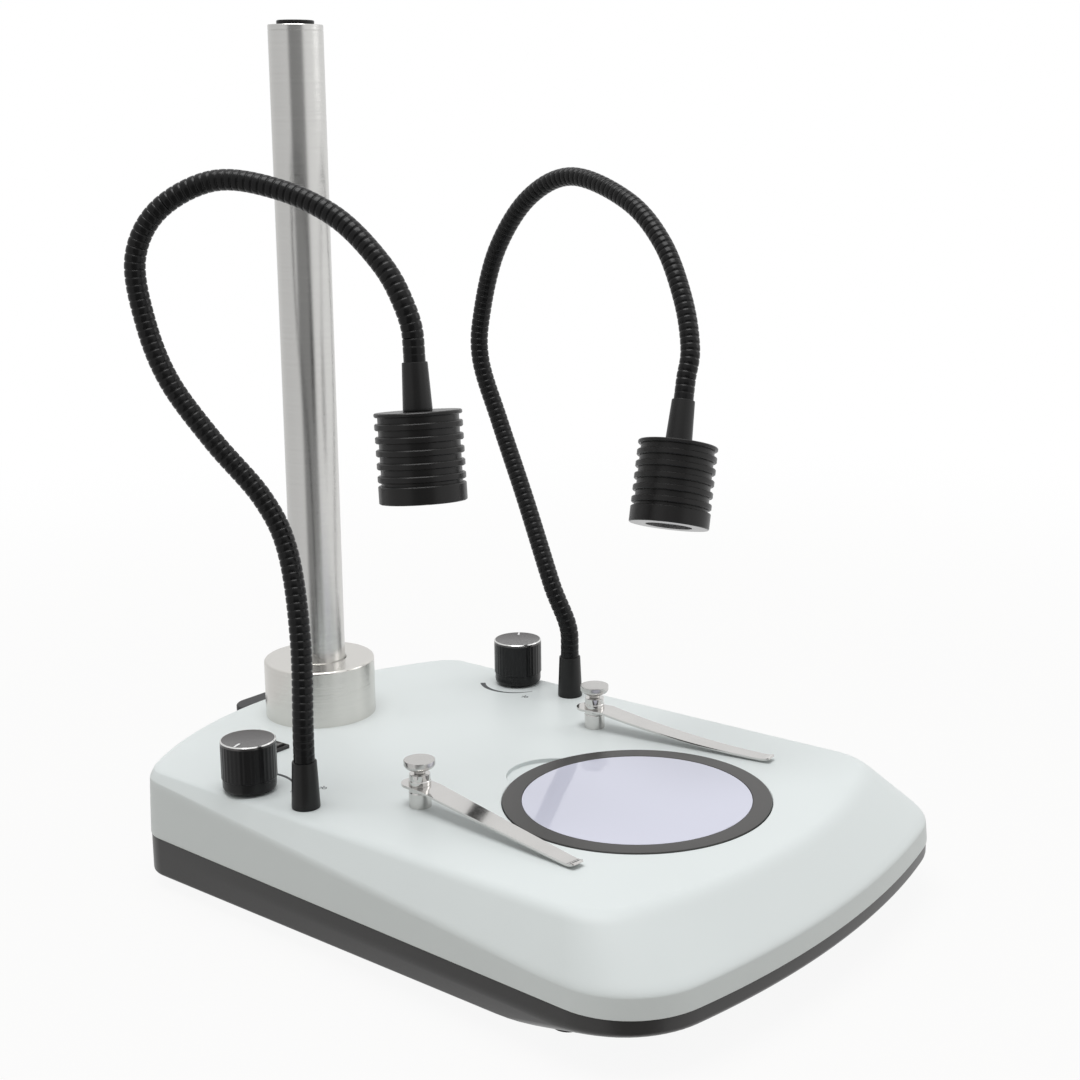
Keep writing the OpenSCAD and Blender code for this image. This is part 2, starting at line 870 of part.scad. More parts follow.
module dimmer_boards() {
    y0 = neck_y - dimmer_board_margin;
    y1 = knob_y + dimmer_board_margin;
    color("#2f6b45")
    both_sides(knob_x, (y0 + y1) / 2) block(dimmer_board_w, y1 - y0, board_z, board_z + board_h);
}

// Switch

function switch_hole_w() = switch_w - 2 * switch_cut_margin;
function switch_hole_len() = switch_len - 2 * switch_cut_margin;

module switch_bezel() {
    color("#17171a")
    translate([-switch_x, switch_y, 0])
        difference() {
            union() {
                block(switch_w, switch_len, top_z, top_z + switch_h);
                block(switch_hole_w() - 2 * close_fit, switch_hole_len() - 2 * close_fit, top_z - switch_body_h, top_z + 0.5);
            }
            block(switch_w - 2 * rocker_wall, switch_len - 2 * rocker_end_wall + 2 * rocker_end_gap,
                top_z - switch_body_h + 1.5, top_z + switch_h + cut);
            translate([0, 0, rocker_z])
                rotate([0, 90, 0]) rod(rocker_pin_d + 2 * running_fit, -switch_w, switch_w);
        }
}

module switch_rocker() {
    half = switch_len / 2 - rocker_end_wall;
    w = switch_w - 2 * rocker_wall - 2 * free_fit;
    color("#0e0e10")
    translate([-switch_x, switch_y, rocker_z])
        rotate([rocker_tilt, 0, 0]) {
            rotate([90, 0, 90])
                linear_extrude(w, center = true)
                    polygon([
                        [-half, rocker_end_h], [-half, 0.5], [-half / 2, -rocker_under], [half / 2, -rocker_under],
                        [half, 0.5], [half, rocker_end_h], [0, rocker_mid_h]
                    ]);
            rotate([0, 90, 0]) rod(rocker_pin_d, -switch_hole_w() / 2 + close_fit, switch_hole_w() / 2 - close_fit);
        }
}

// Dimmers and knobs

module pot(side) {
    color("#8a8d90")
    translate([side * knob_x, knob_y, 0])
        difference() {
            union() {
                rod(pot_d, ceiling_z - pot_h, ceiling_z);
                rod(bush_d, ceiling_z - cut, ceiling_z + pot_bush_h);
            }
            rod(shaft_d + 2 * running_fit, ceiling_z - pot_h + pot_floor, ceiling_z + pot_bush_h + cut);
        }
}

module left_pot() { pot(-1); }

module right_pot() { pot(1); }

module pot_nuts() {
    color("#b8b6b0")
    both_sides(knob_x, knob_y)
        difference() {
            rod(pot_nut_d, top_z, top_z + pot_nut_h, $fn = 6);
            rod(bush_d + 2 * running_fit, top_z - cut, top_z + pot_nut_h + cut);
        }
}

module pot_shaft(side) {
    color("#c2b280")
    translate([side * knob_x, knob_y, 0])
        rod(shaft_d, ceiling_z - pot_h + pot_floor + running_fit, top_z + shaft_rise);
}

module left_pot_shaft() { pot_shaft(-1); }

module right_pot_shaft() { pot_shaft(1); }

module knob(side) {
    r = knob_d / 2;
    foot = r - knob_foot_step;
    z0 = top_z + knob_gap;
    z1 = top_z + knob_top - knob_cap_h;
    color("#1c1c1f")
    translate([side * knob_x, knob_y, 0])
        difference() {
            rotate_extrude()
                polygon([
                    [0, z0], [foot - 0.8, z0], [foot, z0 + 0.8], [foot, z0 + knob_foot_h],
                    [r, z0 + knob_foot_h + knob_foot_step], [r, z1], [0, z1]
                ]);
            rod(knob_recess_d, z0 - cut, z0 + knob_recess_h);
            rod(shaft_d + 2 * running_fit, z0, top_z + shaft_rise + running_fit);
            rod(knob_cap_key_d + 2 * close_fit, z1 - knob_cap_key_h, z1 + cut);
        }
}

module left_knob() { knob(-1); }

module right_knob() { knob(1); }

module knob_cap(side, pointer) {
    r = knob_d / 2;
    z1 = top_z + knob_top;
    z0 = z1 - knob_cap_h;
    color("#6a6a6c")
    translate([side * knob_x, knob_y, 0])
        difference() {
            union() {
                rotate_extrude() polygon([[0, z0], [r, z0], [r, z1 - knob_rim], [r - knob_rim, z1], [0, z1]]);
                rod(knob_cap_key_d, z0 - knob_cap_key_h, z0 + 0.5);
            }
            rotate(pointer)
                translate([r - knob_rim - pointer_len, -pointer_w / 2, z1 - pointer_depth])
                    cube([pointer_len + knob_rim + cut, pointer_w, cut]);
        }
}

module left_knob_cap() { knob_cap(-1, left_pointer); }

module right_knob_cap() { knob_cap(1, right_pointer); }

// Gooseneck boots on the base

module neck_boot(side) {
    bore = boot_bore_d / 2;
    color("#19191b")
    translate([side * neck_x, neck_y, top_z])
        rotate_extrude()
            polygon([
                [bore, -housing_wall - spigot_len], [spigot_d / 2, -housing_wall - spigot_len], [spigot_d / 2, 0],
                [boot_d / 2, 0], [boot_tip_d / 2, boot_h], [bore, boot_h]
            ]);
}

module left_neck_boot() { neck_boot(-1); }

module right_neck_boot() { neck_boot(1); }

module gland_nuts() {
    color("#b8b6b0")
    both_sides(neck_x, neck_y)
        difference() {
            rod(gland_nut_d, ceiling_z - gland_nut_h, ceiling_z, $fn = 6);
            rod(spigot_d + 2 * running_fit, ceiling_z - gland_nut_h - cut, ceiling_z + cut);
        }
}

// Goosenecks

function lamp_up(lean, turn) = [sin(lean) * cos(turn), sin(lean) * sin(turn), cos(lean)];

// Where the gooseneck meets the boot of a head
function neck_end(at, up) = at + up * (lamp_len / 2 + lamp_boot_h);

function hermite(p, q, u, v, t) =
    (2 * t * t * t - 3 * t * t + 1) * p + (t * t * t - 2 * t * t + t) * u
    + (3 * t * t - 2 * t * t * t) * q + (t * t * t - t * t) * v;

// Smooth line through the route, with a straight stub of one hose diameter at each end
function neck_line(start, route, end, end_up) =
    let (p = concat([start + [0, 0, hose_d]], route, [end + hose_d * end_up]))
    let (n = len(p))
    let (first = [0, 0, norm(p[1] - p[0])])
    let (final = -end_up * norm(p[n - 1] - p[n - 2]))
    let (lean = [for (i = [0:n - 1]) i == 0 ? first : i == n - 1 ? final : (p[i + 1] - p[i - 1]) / 2])
    concat(
        [start],
        [for (i = [0:n - 2]) for (k = [0:route_steps - 1]) hermite(p[i], p[i + 1], lean[i], lean[i + 1], k / route_steps)],
        [p[n - 1], end]
    );

// Length along a line up to each of its points
function run(line) =
    [for (i = 0, s = 0; i < len(line); i = i + 1, s = i < len(line) ? s + norm(line[i] - line[i - 1]) : s) s];

// Points at even steps of about half a rib along a line
function stations(line) =
    let (s = run(line))
    let (total = s[len(s) - 1])
    let (n = 2 * round(total / rib_pitch))
    let (table = [for (axis = [0:2]) [for (i = [0:len(line) - 1]) [s[i], line[i][axis]]]])
    [for (i = [0:n]) [for (axis = [0:2]) lookup(i * total / n, table[axis])]];

// Ring of a tube at station i, square to the line
function tube_ring(points, i, r, across) =
    let (n = len(points) - 1)
    let (along = unit(points[min(n, i + 1)] - points[max(0, i - 1)]))
    let (u = unit(cross(across, along)))
    let (v = cross(along, u))
    [for (k = [0:hose_sides - 1]) points[i] + r * (u * cos(k * 360 / hose_sides) + v * sin(k * 360 / hose_sides))];

// Every step-th number from a to b, ending on b
function every(a, b, step) = concat([for (i = [a:step:b - step / 2]) i], [b]);

// Ribbed hose with a bore over the stations from a to b
module ribbed_hose(points, a, b, across) {
    n = hose_sides;
    bore_at = every(a, b, bore_every);
    outer = [for (i = [a:b]) tube_ring(points, i, (i % 2 == 0 ? hose_valley_d : hose_d) / 2, across)];
    inner = [for (i = bore_at) tube_ring(points, i, hose_bore_d / 2, across)];
    rings = concat(inner, [for (i = [len(outer) - 1:-1:0]) outer[i]]);
    m = len(rings);
    faces = [
        for (k = [0:m - 1]) for (i = [0:n - 1])
            let (j = (k + 1) % m)
            let (i2 = (i + 1) % n)
            each [[k * n + i, j * n + i2, j * n + i], [k * n + i, k * n + i2, j * n + i2]]
    ];
    polyhedron([for (r = rings) each r], faces, convexity = 20);
}

// Plain lead through a list of points
module lead(points, across) {
    loft([for (i = [0:len(points) - 1]) tube_ring(points, i, lead_d / 2, across)]);
}

left_up = lamp_up(left_lamp_lean, left_lamp_turn);
right_up = lamp_up(right_lamp_lean, right_lamp_turn);
boot_top_z = top_z + boot_h;
left_stations = stations(
    neck_line([-neck_x, neck_y, boot_top_z], left_route, neck_end(left_lamp_at, left_up), left_up));
right_stations = stations(
    neck_line([neck_x, neck_y, boot_top_z], right_route, neck_end(right_lamp_at, right_up), right_up));
left_last = len(left_stations) - 1;
right_last = len(right_stations) - 1;
left_split = 2 * round(left_last * (1 - left_upper_share) / 2);
right_split = 2 * round(right_last * (1 - right_upper_share) / 2);
lead_foot_drop = boot_top_z - board_z - board_h;
lead_head_run = lamp_boot_h + lamp_len / 2 - lamp_cavity_top();

module left_hose_lower() { color("#1d1d1f") ribbed_hose(left_stations, 0, left_split, left_across); }

module left_hose_upper() { color("#1d1d1f") ribbed_hose(left_stations, left_split, left_last, left_across); }

module right_hose_lower() { color("#1d1d1f") ribbed_hose(right_stations, 0, right_split, right_across); }

module right_hose_upper() { color("#1d1d1f") ribbed_hose(right_stations, right_split, right_last, right_across); }

// Lead from a dimmer board up to the middle of its gooseneck
module lead_lower(points, split, across) {
    foot = points[0] - [0, 0, lead_foot_drop];
    color("#2a2a2e") lead(concat([foot], [for (i = every(0, split, lead_every)) points[i]]), across);
}

// Lead from the middle of a gooseneck to the board in its head
module lead_upper(points, split, last, up, across) {
    head = points[last] - up * lead_head_run;
    color("#2a2a2e") lead(concat([for (i = every(split, last, lead_every)) points[i]], [head]), across);
}

module left_lead_lower() { lead_lower(left_stations, left_split, left_across); }

module left_lead_upper() { lead_upper(left_stations, left_split, left_last, left_up, left_across); }

module right_lead_lower() { lead_lower(right_stations, right_split, right_across); }

module right_lead_upper() { lead_upper(right_stations, right_split, right_last, right_up, right_across); }

// Lamp heads, drawn upright about their centres

function lamp_cavity_top() = -lamp_len / 2 + bezel_h + lamp_cavity_h;

module left_head() {
    translate(left_lamp_at) rotate([0, left_lamp_lean, left_lamp_turn]) children();
}

module right_head() {
    translate(right_lamp_at) rotate([0, right_lamp_lean, right_lamp_turn]) children();
}

module lamp_boot() {
    bore = boot_bore_d / 2;
    base = lamp_len / 2;
    seat = lamp_cavity_top() + 4;
    color("#19191b")
    rotate_extrude()
        polygon([
            [bore, seat], [spigot_d / 2, seat], [spigot_d / 2, base], [boot_d / 2, base],
            [boot_tip_d / 2, base + lamp_boot_h], [bore, base + lamp_boot_h]
        ]);
}

module lamp_sink() {
    r = lamp_d / 2;
    in = r - groove_depth;
    top = lamp_len / 2;
    bottom = -lamp_len / 2 + bezel_h;
    spigot = bezel_spigot_d / 2 + running_fit;
    hole = spigot_d / 2 + running_fit;
    cavity = lamp_cavity_top();
    pitch = fin_h + groove_h;
    fins = [
        for (k = [0:fin_count - 1])
            let (z = bottom + foot_groove_h + k * pitch)
            each [[r, z], [r, z + fin_h], [in, z + fin_h], [in, z + pitch]]
    ];
    color("#1b1b1d")
    rotate_extrude()
        polygon(concat(
            [[spigot, bottom], [in, bottom], [in, bottom + foot_groove_h]], fins,
            [[r, top - flange_h], [r, top], [hole, top], [hole, cavity]],
            [[lamp_cavity_d / 2, cavity], [lamp_cavity_d / 2, bottom + bezel_spigot_h + 0.5],
            [spigot, bottom + bezel_spigot_h + 0.5]]
        ));
}

module lamp_bezel() {
    r = lamp_d / 2;
    bottom = -lamp_len / 2;
    top = bottom + bezel_h;
    spigot = bezel_spigot_d / 2;
    pocket = bezel_pocket_d / 2;
    lip = bottom + bezel_lip_h;
    color("#232325")
    rotate_extrude()
        polygon([
            [lens_open_d / 2, bottom], [r, bottom], [r, top], [spigot, top], [spigot, top + bezel_spigot_h],
            [pocket, top + bezel_spigot_h], [pocket, lip], [lens_open_d / 2, lip]
        ]);
}

module lamp_lens() {
    r = bezel_pocket_d / 2 - close_fit;
    z0 = -lamp_len / 2 + bezel_lip_h;
    z1 = z0 + lens_edge_h;
    color("#cfd6dc")
    rotate_extrude()
        polygon(concat(
            [[0, z0], [r, z0]],
            [for (i = [0:8]) [r * cos(i * 90 / 8), z1 + lens_dome_h * sin(i * 90 / 8)]]
        ));
}

module lamp_led() {
    z = lamp_cavity_top();
    color("#e8e0a0") {
        rod(lamp_board_d, z - board_h, z);
        rod(emitter_d, z - board_h - emitter_h, z - board_h);
    }
}

module left_lamp_boot() { left_head() lamp_boot(); }

module left_lamp_sink() { left_head() lamp_sink(); }

module left_lamp_bezel() { left_head() lamp_bezel(); }

module left_lamp_lens() { left_head() lamp_lens(); }

module left_lamp_led() { left_head() lamp_led(); }

module right_lamp_boot() { right_head() lamp_boot(); }

module right_lamp_sink() { right_head() lamp_sink(); }

module right_lamp_bezel() { right_head() lamp_bezel(); }

module right_lamp_lens() { right_head() lamp_lens(); }

module right_lamp_led() { right_head() lamp_led(); }

// Stage clips

module clip_post(side) {
    color("#c4c4c2")
    translate([side * clip_x, clip_y, 0])
        difference() {
            union() {
                rod(clip_post_d, top_z, clip_blade_z);
                rod(clip_stem_d, top_z - clip_stem_len, top_z + cut);
            }
            rod(clip_shank_d + 2 * running_fit, clip_blade_z - clip_thread - 0.5, clip_blade_z + cut);
        }
}

module left_clip_post() { clip_post(-1); }

module right_clip_post() { clip_post(1); }

// Height of a blade's middle above its flat end, s along it from the post
function blade_rise(s, bend) =
    let (low = blade_len - blade_tip_curl)
    let (drop = clip_post_h - blade_low)
    s < blade_flat ? 0
    : s < low ? -drop * (1 - pow(1 - (s - blade_flat) / (low - blade_flat), bend))
    : -drop + blade_tip_rise * pow((s - low) / blade_tip_curl, 2);

module clip_blade(side, bend) {
    low = blade_len - blade_tip_curl;
    steps = concat(
        [-blade_w, blade_flat],
        [for (i = [1:12]) mix(blade_flat, low, i / 12)],
        [low + blade_tip_curl / 2, blade_len]
    );
    half = blade_t / 2;
    color("#c8c8c6")
    translate([side * clip_x, clip_y, clip_blade_z + half])
        rotate(-90 + side * blade_splay)
            difference() {
                intersection() {
                    rotate([90, 0, 0])
                        linear_extrude(2 * blade_w, center = true)
                            polygon(concat(
                                [for (s = steps) [s, blade_rise(s, bend) - half]],
                                [for (i = [len(steps) - 1:-1:0]) [steps[i], blade_rise(steps[i], bend) + half]]
                            ));
                    translate([0, 0, -2 * clip_post_h])
                        linear_extrude(4 * clip_post_h)
                            union() {
                                translate([-blade_tail, 0]) circle(d = blade_w);
                                polygon([
                                    [-blade_tail, -blade_w / 2], [blade_len, -blade_tip_w / 2],
                                    [blade_len, blade_tip_w / 2], [-blade_tail, blade_w / 2]
                                ]);
                            }
                }
                rod(clip_shank_d + 2 * running_fit, -blade_t, blade_t);
            }
}

module left_clip_blade() { clip_blade(-1, left_blade_bend); }

module right_clip_blade() { clip_blade(1, right_blade_bend); }

module clip_collar(side) {
    color("#cfcfcd")
    translate([side * clip_x, clip_y, 0])
        tube(clip_collar_d, clip_shank_d + 2 * running_fit, clip_collar_z, clip_collar_z + clip_collar_h);
}

module left_clip_collar() { clip_collar(-1); }

module right_clip_collar() { clip_collar(1); }

module clip_screw(side) {
    shank = clip_shank_d / 2;
    neck = thumb_neck_d / 2;
    head = thumb_d / 2;
    cone_z = thumb_z + thumb_neck_h;
    head_z = cone_z + thumb_cone_h;
    edge = 0.5;
    color("#cfcfcd")
    translate([side * clip_x, clip_y, 0])
        rotate_extrude()
            polygon([
                [0, clip_blade_z - clip_thread], [shank, clip_blade_z - clip_thread], [shank, thumb_z],
                [neck, thumb_z], [neck, cone_z], [head, head_z], [head, head_z + thumb_h - edge],
                [head - edge, head_z + thumb_h], [0, head_z + thumb_h]
            ]);
}

module left_clip_screw() { clip_screw(-1); }

module right_clip_screw() { clip_screw(1); }

top_housing();
bottom_pan();
rubber_feet();
foot_screws();
post_collar();
collar_screws();
collar_set_screw();
post();
post_cap();
post_bolt();
light_well();
led_board();
led_chips();
diffuser();
rear_block();
power_jack();
power_board();
switch_bezel();
left_pot();
right_pot();
pot_nuts();
dimmer_boards();
left_neck_boot();
right_neck_boot();
gland_nuts();
left_clip_post();
right_clip_post();
stage_ring();
stage_glass();
left_knob();
left_knob_cap();
left_pot_shaft();
right_knob();
right_knob_cap();
right_pot_shaft();
left_clip_blade();
left_clip_collar();
right_clip_blade();
right_clip_collar();
left_clip_screw();
right_clip_screw();
switch_rocker();
left_hose_lower();
left_hose_upper();
left_lead_lower();
left_lead_upper();
right_hose_lower();
right_hose_upper();
right_lead_lower();
right_lead_upper();
left_lamp_boot();
left_lamp_sink();
left_lamp_bezel();
left_lamp_lens();
left_lamp_led();
right_lamp_boot();
right_lamp_sink();
right_lamp_bezel();
right_lamp_lens();
right_lamp_led();
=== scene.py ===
"""Looks of a microscope post stand: a lit base, a post, two stage clips and two lamps on bendable necks"""
from math import atan2, cos, pi, radians, sin, sqrt

import bmesh
import bpy
from bpy.props import FloatProperty, FloatVectorProperty, IntProperty, PointerProperty
from mathutils import Matrix, Vector
from mathutils.geometry import interpolate_bezier


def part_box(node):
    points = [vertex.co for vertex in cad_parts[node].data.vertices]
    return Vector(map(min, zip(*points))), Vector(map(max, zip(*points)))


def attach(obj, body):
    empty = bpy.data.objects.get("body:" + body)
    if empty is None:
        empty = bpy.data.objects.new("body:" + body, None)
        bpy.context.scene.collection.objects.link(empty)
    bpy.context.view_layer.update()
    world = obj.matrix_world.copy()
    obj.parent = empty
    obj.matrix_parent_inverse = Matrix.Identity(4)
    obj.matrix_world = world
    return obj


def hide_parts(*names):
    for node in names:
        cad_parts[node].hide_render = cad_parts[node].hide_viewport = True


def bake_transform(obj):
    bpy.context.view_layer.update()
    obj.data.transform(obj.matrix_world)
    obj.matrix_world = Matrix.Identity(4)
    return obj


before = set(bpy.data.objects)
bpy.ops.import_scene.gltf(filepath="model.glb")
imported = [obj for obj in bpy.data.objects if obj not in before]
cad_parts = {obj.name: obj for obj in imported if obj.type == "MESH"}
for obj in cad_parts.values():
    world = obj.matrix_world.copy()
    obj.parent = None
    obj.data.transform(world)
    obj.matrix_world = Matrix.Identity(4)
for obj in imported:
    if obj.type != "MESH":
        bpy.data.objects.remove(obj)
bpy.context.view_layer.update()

bl_info = {
    "name": "Microscope post stand",
    "version": (1, 0, 0),
    "blender": (4, 5, 0),
    "location": "View3D > Sidebar > Post stand",
    "description": "Builds the visible pieces and finishes of a microscope post stand",
    "category": "Add Mesh",
}

MM = 0.001

# Plans of the base in millimetres, as in the solids: half width at the front and at the rear end of the
# straight sides, then the place, bow and corner radius of the front edge and of the rear edge
SIDE_FRONT = -109.0
SIDE_REAR = 121.0
SEAM_PLAN = (117.5, 105.0, -171.0, 410.0, 38.0, 161.0, 180.0, 17.0)
TOP_PLAN = (102.5, 101.0, -148.0, 235.0, 24.0, 158.5, 177.5, 14.5)
PAN_PLAN = (111.5, 104.6, -145.0, 410.0, 58.0, 160.6, 180.0, 17.0)
PAN_Z = 6.0
BAND_Z = 17.0
SEAM_Z = 24.0
TOP_Z = 54.0
WALL_FRONT = 9.5
WALL_REAR = 26.0

# Lamp heads: centre, lean from upright and direction of the lean, as in the solids
LAMPS = {
    "left": ((-57.4, -1.5, 204.8), 7.8, 60.0),
    "right": ((54.8, -49.0, 179.5), 20.0, 16.0),
}
LAMP_HALF = 18.5
LAMP_BOOT = 20.0

# Routes of the goosenecks between their straight ends, and the share of each above its bend
NECKS = {
    "left": (
        (-84, 45, 125), (-78, 57, 160), (-80, 69, 182), (-89, 88, 206), (-96, 106, 231), (-98, 117, 256),
        (-98, 121, 282), (-91, 113, 302), (-77, 94, 314), (-66, 68, 311), (-59, 41, 300), (-56, 19, 282),
        (-55, 8, 266),
    ),
    "right": (
        (89, 49, 111), (98, 73, 150), (105, 95, 186), (106, 108, 217), (108, 108, 242), (109, 98, 274),
        (109, 77, 300), (107, 48, 311), (100, 10, 301), (92, -16, 283), (83, -34, 259), (76, -43, 238),
    ),
}
UPPER_SHARE = {"left": 0.37, "right": 0.40}
HOSE_R = 4.5

# Sizes in millimetres that several shapes share, as in the solids
WALL = 3.0
COLLAR_R = 26.5
POST_R = 12.5
POST_BORE = 7.5
PLUG_R = 8.5
STAGE_R = 57.8
GLASS_SEAT_R = 49.6
STAGE_BORE = 47.0
CLIP_R = 4.8
KNOB_R = 12.0
BOOT_R = 6.05
BOOT_TOP_R = 5.25
BOOT_RIM = 1.4
LAMP_R = 18.0
FIN_ROOT = 16.6
FIN_PITCH = 5.3
FIN_H = 2.7
FIN_Z = -9.7
BEZEL_TOP = -11.1
FEET = ((-91, -103), (91, -103), (-85, 130), (85, 130))

# Radius of the printed arc round each knob, and place of the printed lamp sign from the knob
KNOB_PRINT = {"left": (18.4, 19.8, -25.2), "right": (16.8, -16.0, -18.4)}

# The studio in metres: what the lights aim at, and the level ways to the camera and to its right
AIM = (0.0, 0.0, 0.1)
TO_CAMERA = (-0.717, -0.697, 0.0)
TO_RIGHT = (0.697, -0.717, 0.0)

SIDES = (("left", -1), ("right", 1))


# Sizes and colours


def size(name, description, default):
    return FloatProperty(
        name=name, description=description, default=default, min=0.0, unit="LENGTH", precision=5
    )


def tint(name, description, default):
    return FloatVectorProperty(
        name=name, description=description, default=default, size=3, min=0.0, max=1.0, subtype="COLOR"
    )


class StandSizes(bpy.types.PropertyGroup):
    """Small sizes of the visible pieces"""

    edge_round: size("Edge round", "Round on the edges of turned and moulded pieces", 0.0003)
    rib_pitch: size("Rib pitch", "Distance between two ribs of a gooseneck", 0.0032)
    rib_groove: size("Rib groove", "Depth of the grooves between the ribs", 0.0004)
    flute_depth: size("Flute depth", "Depth of the flutes round a knob", 0.00012)
    flute_count: IntProperty(
        name="Flutes", description="Number of flutes round a knob", default=36, min=8, max=80
    )
    post_groove: size("Post groove", "Depth of the fine groove under the top of the post", 0.00012)
    fin_cut: size("Fin cut", "Cut on the edges of the lamps' fins", 0.0004)
    print_height: size("Print height", "Thickness of the printed marks", 0.00006)
    floor_span: size("Floor span", "Width of the floor", 8.0)


class StandColours(bpy.types.PropertyGroup):
    """Colours of the finishes"""

    paint: tint("Housing paint", "Pale paint of the top housing", (0.732, 0.776, 0.773))
    pan: tint("Pan paint", "Dark paint of the bottom pan", (0.028, 0.0267, 0.0262))
    rubber: tint("Rubber", "Rubber of the feet", (0.03, 0.03, 0.031))
    post: tint("Post", "Ground steel of the post", (0.62, 0.615, 0.60))
    collar: tint("Collar", "Turned metal of the collar", (0.69, 0.675, 0.645))
    ring: tint("Stage ring", "Anodised metal of the stage ring", (0.092, 0.090, 0.088))
    glass: tint("Stage glass", "Opal glass of the stage", (0.625, 0.635, 0.745))
    chrome: tint("Chrome", "Plating of the clips", (0.64, 0.63, 0.615))
    knob: tint("Knob", "Gloss black of the knobs", (0.006, 0.006, 0.0065))
    cap: tint("Knob cap", "Spun metal of the knob caps", (0.115, 0.11, 0.11))
    rim: tint("Knob rim", "Bright cut edge of the knob caps", (0.80, 0.80, 0.79))
    mark: tint("Pointer", "Paint of the pointer marks", (0.85, 0.85, 0.85))
    ink: tint("Print", "Ink of the printed marks", (0.05, 0.055, 0.06))
    plastic: tint("Black plastic", "Moulded black of the boots, cap and switch", (0.011, 0.0108, 0.0108))
    block: tint("Rear block", "Moulded grey of the rear block", (0.045, 0.045, 0.047))
    hose: tint("Gooseneck", "Black of the goosenecks", (0.0035, 0.0035, 0.0037))
    lamp: tint("Lamp", "Anodised black of the lamp heads", (0.0095, 0.009, 0.009))
    bore: tint("Lamp bore", "Bare metal of the lamps' openings", (0.17, 0.165, 0.165))
    lens: tint("Lens", "Frosted lens of the lamps", (0.86, 0.90, 0.93))
    steel: tint("Steel", "Screws, nuts and shafts", (0.52, 0.51, 0.49))
    board: tint("Board", "Circuit boards", (0.03, 0.13, 0.06))
    white: tint("White", "Light well and diffuser", (0.83, 0.83, 0.81))
    emitter: tint("Emitter", "Light-emitting chips", (0.80, 0.68, 0.25))


# Shader sums


class Socket:
    """One socket of a node tree: sums on it add Math nodes"""

    def __init__(self, tree, socket=None):
        self.tree = tree
        self.socket = socket

    def node(self, kind, settings=None, values=None, out=0):
        """Adds a node: its settings first, then the values or links of its sockets"""
        made = self.tree.nodes.new(kind)
        for name, value in (settings or {}).items():
            if name == "stops":
                while len(made.color_ramp.elements) < len(value):
                    made.color_ramp.elements.new(1.0)
                for stop, (place, colour) in zip(made.color_ramp.elements, value):
                    stop.position = place
                    stop.color = colour
            else:
                setattr(made, name, value)
        for name, value in (values or {}).items():
            if isinstance(value, Socket):
                self.tree.links.new(value.socket, made.inputs[name])
            else:
                made.inputs[name].default_value = value
        return Socket(self.tree, made.outputs[out])

    def other(self, name):
        """Another output of the same node"""
        return Socket(self.tree, self.socket.node.outputs[name])

    def sum(self, operation, a, b):
        return self.node("ShaderNodeMath", {"operation": operation}, {0: a, 1: b})

    def __add__(self, other):
        return self.sum("ADD", self, other)

    __radd__ = __add__

    def __sub__(self, other):
        return self.sum("SUBTRACT", self, other)

    def __rsub__(self, other):
        return self.sum("SUBTRACT", other, self)

    def __mul__(self, other):
        return self.sum("MULTIPLY", self, other)

    __rmul__ = __mul__

    def step(self, low, high):
        """0 below low, 1 above high, smooth between"""
        return self.node(
            "ShaderNodeMapRange",
            {"interpolation_type": "SMOOTHSTEP"},
            {0: self, 1: low, 2: high, 3: 0.0, 4: 1.0},
        )

    def noise(self, scale, detail=2.0):
        """Even noise on a vector, scale in cells per metre"""
        return self.node("ShaderNodeTexNoise", None, {"Vector": self, "Scale": scale, "Detail": detail})

    def lines(self, scale, detail=2.0):
        """Noise along one value, scale in lines per metre"""
        return self.node(
            "ShaderNodeTexNoise", {"noise_dimensions": "1D"}, {"W": self, "Scale": scale, "Detail": detail}
        )

    def between(self, low, high):
        """Colour between two colours"""
        return self.node(
            "ShaderNodeMix", {"data_type": "RGBA"}, {0: self, 6: (*low, 1.0), 7: (*high, 1.0)}, out=2
        )

    def bump(self, strength, distance):
        return self.node("ShaderNodeBump", None, {"Strength": strength, "Distance": distance, "Height": self})

    def vector(self, operation, other, out=0):
        """Sum of two vectors; "Value" as out gives a number"""
        return self.node("ShaderNodeVectorMath", {"operation": operation}, {0: self, 1: other}, out=out)


def shade(colour, factor):
    return tuple(min(1.0, part * factor) for part in colour)


def finish(name, **values):
    """New material; returns it, its shader and the piece's own coordinates"""
    material = bpy.data.materials.new(name)
    material.use_nodes = True
    shader = material.node_tree.nodes["Principled BSDF"]
    feed(shader, **values)
    return material, shader, Socket(material.node_tree).node("ShaderNodeTexCoord", out="Object")


def feed(shader, **values):
    """Sets or links the shader's sockets"""
    for name, value in values.items():
        socket = shader.inputs[name.replace("_", " ")]
        if isinstance(value, Socket):
            value.tree.links.new(value.socket, socket)
        else:
            socket.default_value = value


# Finishes


def sprayed_paint(name, colour, rough, peel, gloss=0.5):
    """Stoved paint with a faint orange peel and a slight drift in tone"""
    material, shader, place = finish(name, Specular_IOR_Level=gloss)
    drift = place.noise(16.0)
    skin = place.noise(850.0, 3.0)
    speck = place.noise(5200.0, 1.0)
    feed(
        shader,
        Base_Color=(drift * 0.75 + speck * 0.25).between(shade(colour, 0.965), shade(colour, 1.03)),
        Roughness=rough + 0.10 * (drift - 0.5) + 0.06 * (skin - 0.5),
        Normal=skin.bump(peel, 0.00004),
    )
    return material


def moulded(name, colour, rough, grain, scale=2600.0, gloss=0.2):
    """Moulded plastic or rubber with a fine grain and handling marks"""
    material, shader, place = finish(name, Specular_IOR_Level=gloss)
    rub = place.noise(70.0, 3.0)
    pores = place.noise(scale, 2.0)
    feed(
        shader,
        Base_Color=rub.between(shade(colour, 0.8), shade(colour, 1.25)),
        Roughness=rough + 0.14 * (rub - 0.5) + 0.08 * (pores - 0.5),
        Normal=pores.bump(grain, 0.00003),
    )
    return material


